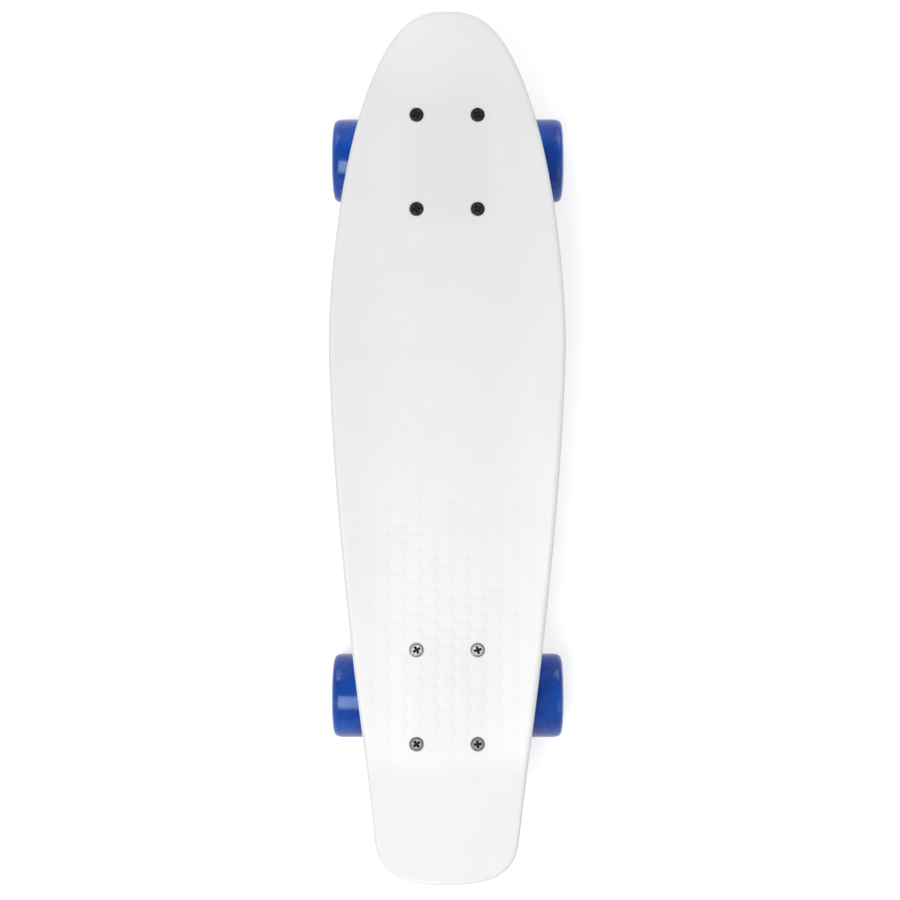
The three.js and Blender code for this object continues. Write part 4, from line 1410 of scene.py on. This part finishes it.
CAMERA_HEIGHT = 1.5
CAMERA_PLACE = (0.03, -0.012)
VIEW_CENTRE = (-0.00435, -0.0019)
CAMERA_LENS = 89.0
CAMERA_SENSOR = 36.0
FLOOR_SIZE = 8.0
FLOOR_DIFFUSE = 0.75
FLOOR_BOUNCE = 0.4
FLOOR_GLOW = 0.62
FLOOR_FADE = (0.55, 1.6)
FILL_HORIZON = 0.09
FILL_ZENITH = 0.36
CEILING = 0.35
CEILING_STARTS = (0.35, 0.8)
LIGHTS = [
    {"name": "key", "place": (-0.66, 0.47, 2.17), "size": (0.75, 1.3), "power": 24.4, "turn": 33},
    {"name": "tail_left", "place": (-0.6, 0.85, 0.85), "size": (0.7, 0.7), "power": 1.55},
    {"name": "tail_right", "place": (-0.6, -0.85, 0.85), "size": (0.7, 0.7), "power": 1.85},
    {"name": "nose_left", "place": (1.5, 0.95, 0.6), "size": (1.1, 0.9), "power": 7.2},
    {"name": "nose_right", "place": (1.5, -0.95, 0.6), "size": (1.1, 0.9), "power": 8.2},
]
SPOT = {"place": (1.0, 0.5, 1.0), "aim": (-0.295, 0, 0.11), "cone": 9, "radius": 0.12, "power": 17.5}


def seen_directly(tree):
    """One for rays from the camera and for those that a mirror or glass sends on."""
    path = add_node(tree, "LightPath").outputs
    share = calculate(tree, "MAXIMUM", path["Is Camera Ray"], path["Is Glossy Ray"])
    return calculate(tree, "MAXIMUM", share, path["Is Transmission Ray"])


def floor_material():
    """Pale and matt with a glow that makes it white, keeping the shadow. Far away it is plain white."""
    made = bpy.data.materials.new("studio_floor")
    made.use_nodes = True
    tree = made.node_tree
    tree.nodes.remove(tree.nodes["Principled BSDF"])
    seen = seen_directly(tree)
    cloud = noise(tree, 3, 2.0)
    shown = blend_colours(tree, cloud, grey(FLOOR_DIFFUSE * 0.98), grey(FLOOR_DIFFUSE))
    colour = blend_colours(tree, seen, grey(FLOOR_BOUNCE), shown)
    matt = add_node(tree, "BsdfDiffuse", {"Color": colour})
    glow = add_node(tree, "Emission", {"Strength": calculate(tree, "MULTIPLY", seen, FLOOR_GLOW)})
    near = add_node(tree, "AddShader", {0: matt.outputs[0], 1: glow.outputs[0]})
    white = add_node(tree, "Emission", {"Strength": 1.0})
    distance = add_node(tree, "VectorMath", {"Vector": object_space(tree)}, operation="LENGTH")
    far = ranged(tree, distance.outputs["Value"], *FLOOR_FADE, 0.0, 1.0)
    share = calculate(tree, "MULTIPLY", far, seen)
    both = add_node(tree, "MixShader", {0: share, 1: near.outputs[0], 2: white.outputs[0]})
    tree.links.new(both.outputs[0], tree.nodes["Material Output"].inputs["Surface"])
    return made


def make_stage():
    half = FLOOR_SIZE / 2 / MM
    corners = np.array([(-half, -half), (half, -half), (half, half), (-half, half)])
    FINISHES["floor"] = floor_material()
    floor = make_object("floor", Shape(flat_ring(corners, 0.0), [(0, 1, 2, 3)]), ["floor"])
    world = bpy.data.worlds.new("studio")
    world.use_nodes = True
    bpy.context.scene.world = world
    tree = world.node_tree
    direction = add_node(tree, "TexCoord").outputs["Generated"]
    height = add_node(tree, "SeparateXYZ", {"Vector": direction}).outputs["Z"]
    fill = ranged(tree, height, 0.0, 1.0, FILL_HORIZON, FILL_ZENITH)
    backdrop = ranged(tree, height, *CEILING_STARTS, 1.0, CEILING)
    shown = calculate(tree, "MULTIPLY", backdrop, seen_directly(tree))
    strength = calculate(tree, "MAXIMUM", fill, shown)
    tree.links.new(strength, tree.nodes["Background"].inputs["Strength"])
    tree.nodes["Background"].inputs["Color"].default_value = (1, 1, 1, 1)


def hang_lamp(light, place, aim=(0, 0, 0), turn=0):
    """Puts a lamp in its place, aimed at a point and turned about its own line by some degrees."""
    lamp = bpy.data.objects.new(light.name, light)
    lamp.location = place
    aimed = (Vector(aim) - Vector(place)).to_track_quat("-Z", "Y")
    lamp.rotation_euler = (aimed @ Quaternion((0, 0, 1), math.radians(turn))).to_euler()
    bpy.context.scene.collection.objects.link(lamp)


def make_light(name, place, size, power, turn=0):
    light = bpy.data.lights.new(name, "AREA")
    light.shape = "RECTANGLE"
    light.size, light.size_y = size
    light.energy = power
    hang_lamp(light, place, turn=turn)


def make_spot(place, aim, cone, radius, power):
    """A soft narrow beam for the raised tail."""
    light = bpy.data.lights.new("tail_spot", "SPOT")
    light.spot_size = math.radians(cone)
    light.spot_blend = 1.0
    light.shadow_soft_size = radius
    light.energy = power
    hang_lamp(light, place, aim)


def make_camera():
    """Looks straight down, beside the middle of its picture, with the lens shifted to match."""
    camera = bpy.data.cameras.new("camera")
    camera.lens = CAMERA_LENS
    camera.sensor_width = CAMERA_SENSOR
    picture = CAMERA_SENSOR / CAMERA_LENS * CAMERA_HEIGHT
    camera.shift_x = (CAMERA_PLACE[1] - VIEW_CENTRE[1]) / picture
    camera.shift_y = (VIEW_CENTRE[0] - CAMERA_PLACE[0]) / picture
    placed = bpy.data.objects.new("camera", camera)
    placed.location = (*CAMERA_PLACE, DECK_TOP * MM + CAMERA_HEIGHT)
    placed.rotation_euler = (0, 0, -math.pi / 2)
    bpy.context.scene.collection.objects.link(placed)
    bpy.context.scene.camera = placed


def main():
    bpy.context.scene.view_settings.view_transform = "Standard"
    for name in ("Cube", "Camera", "Light"):
        if name in bpy.data.objects:
            bpy.data.objects.remove(bpy.data.objects[name])
    make_camera()
    for light in LIGHTS:
        make_light(**light)
    make_spot(**SPOT)
    make_stage()
    FINISHES.update(make_finishes())
    make_deck()
    for node, turn in zip(bolt_nodes("bolt"), SLOT_TURNS):
        make_bolt(node, turn)
    for node in bolt_nodes("lock_nut"):
        make_lock_nut(node)
    for truck in TRUCKS:
        make_truck(truck)


main()
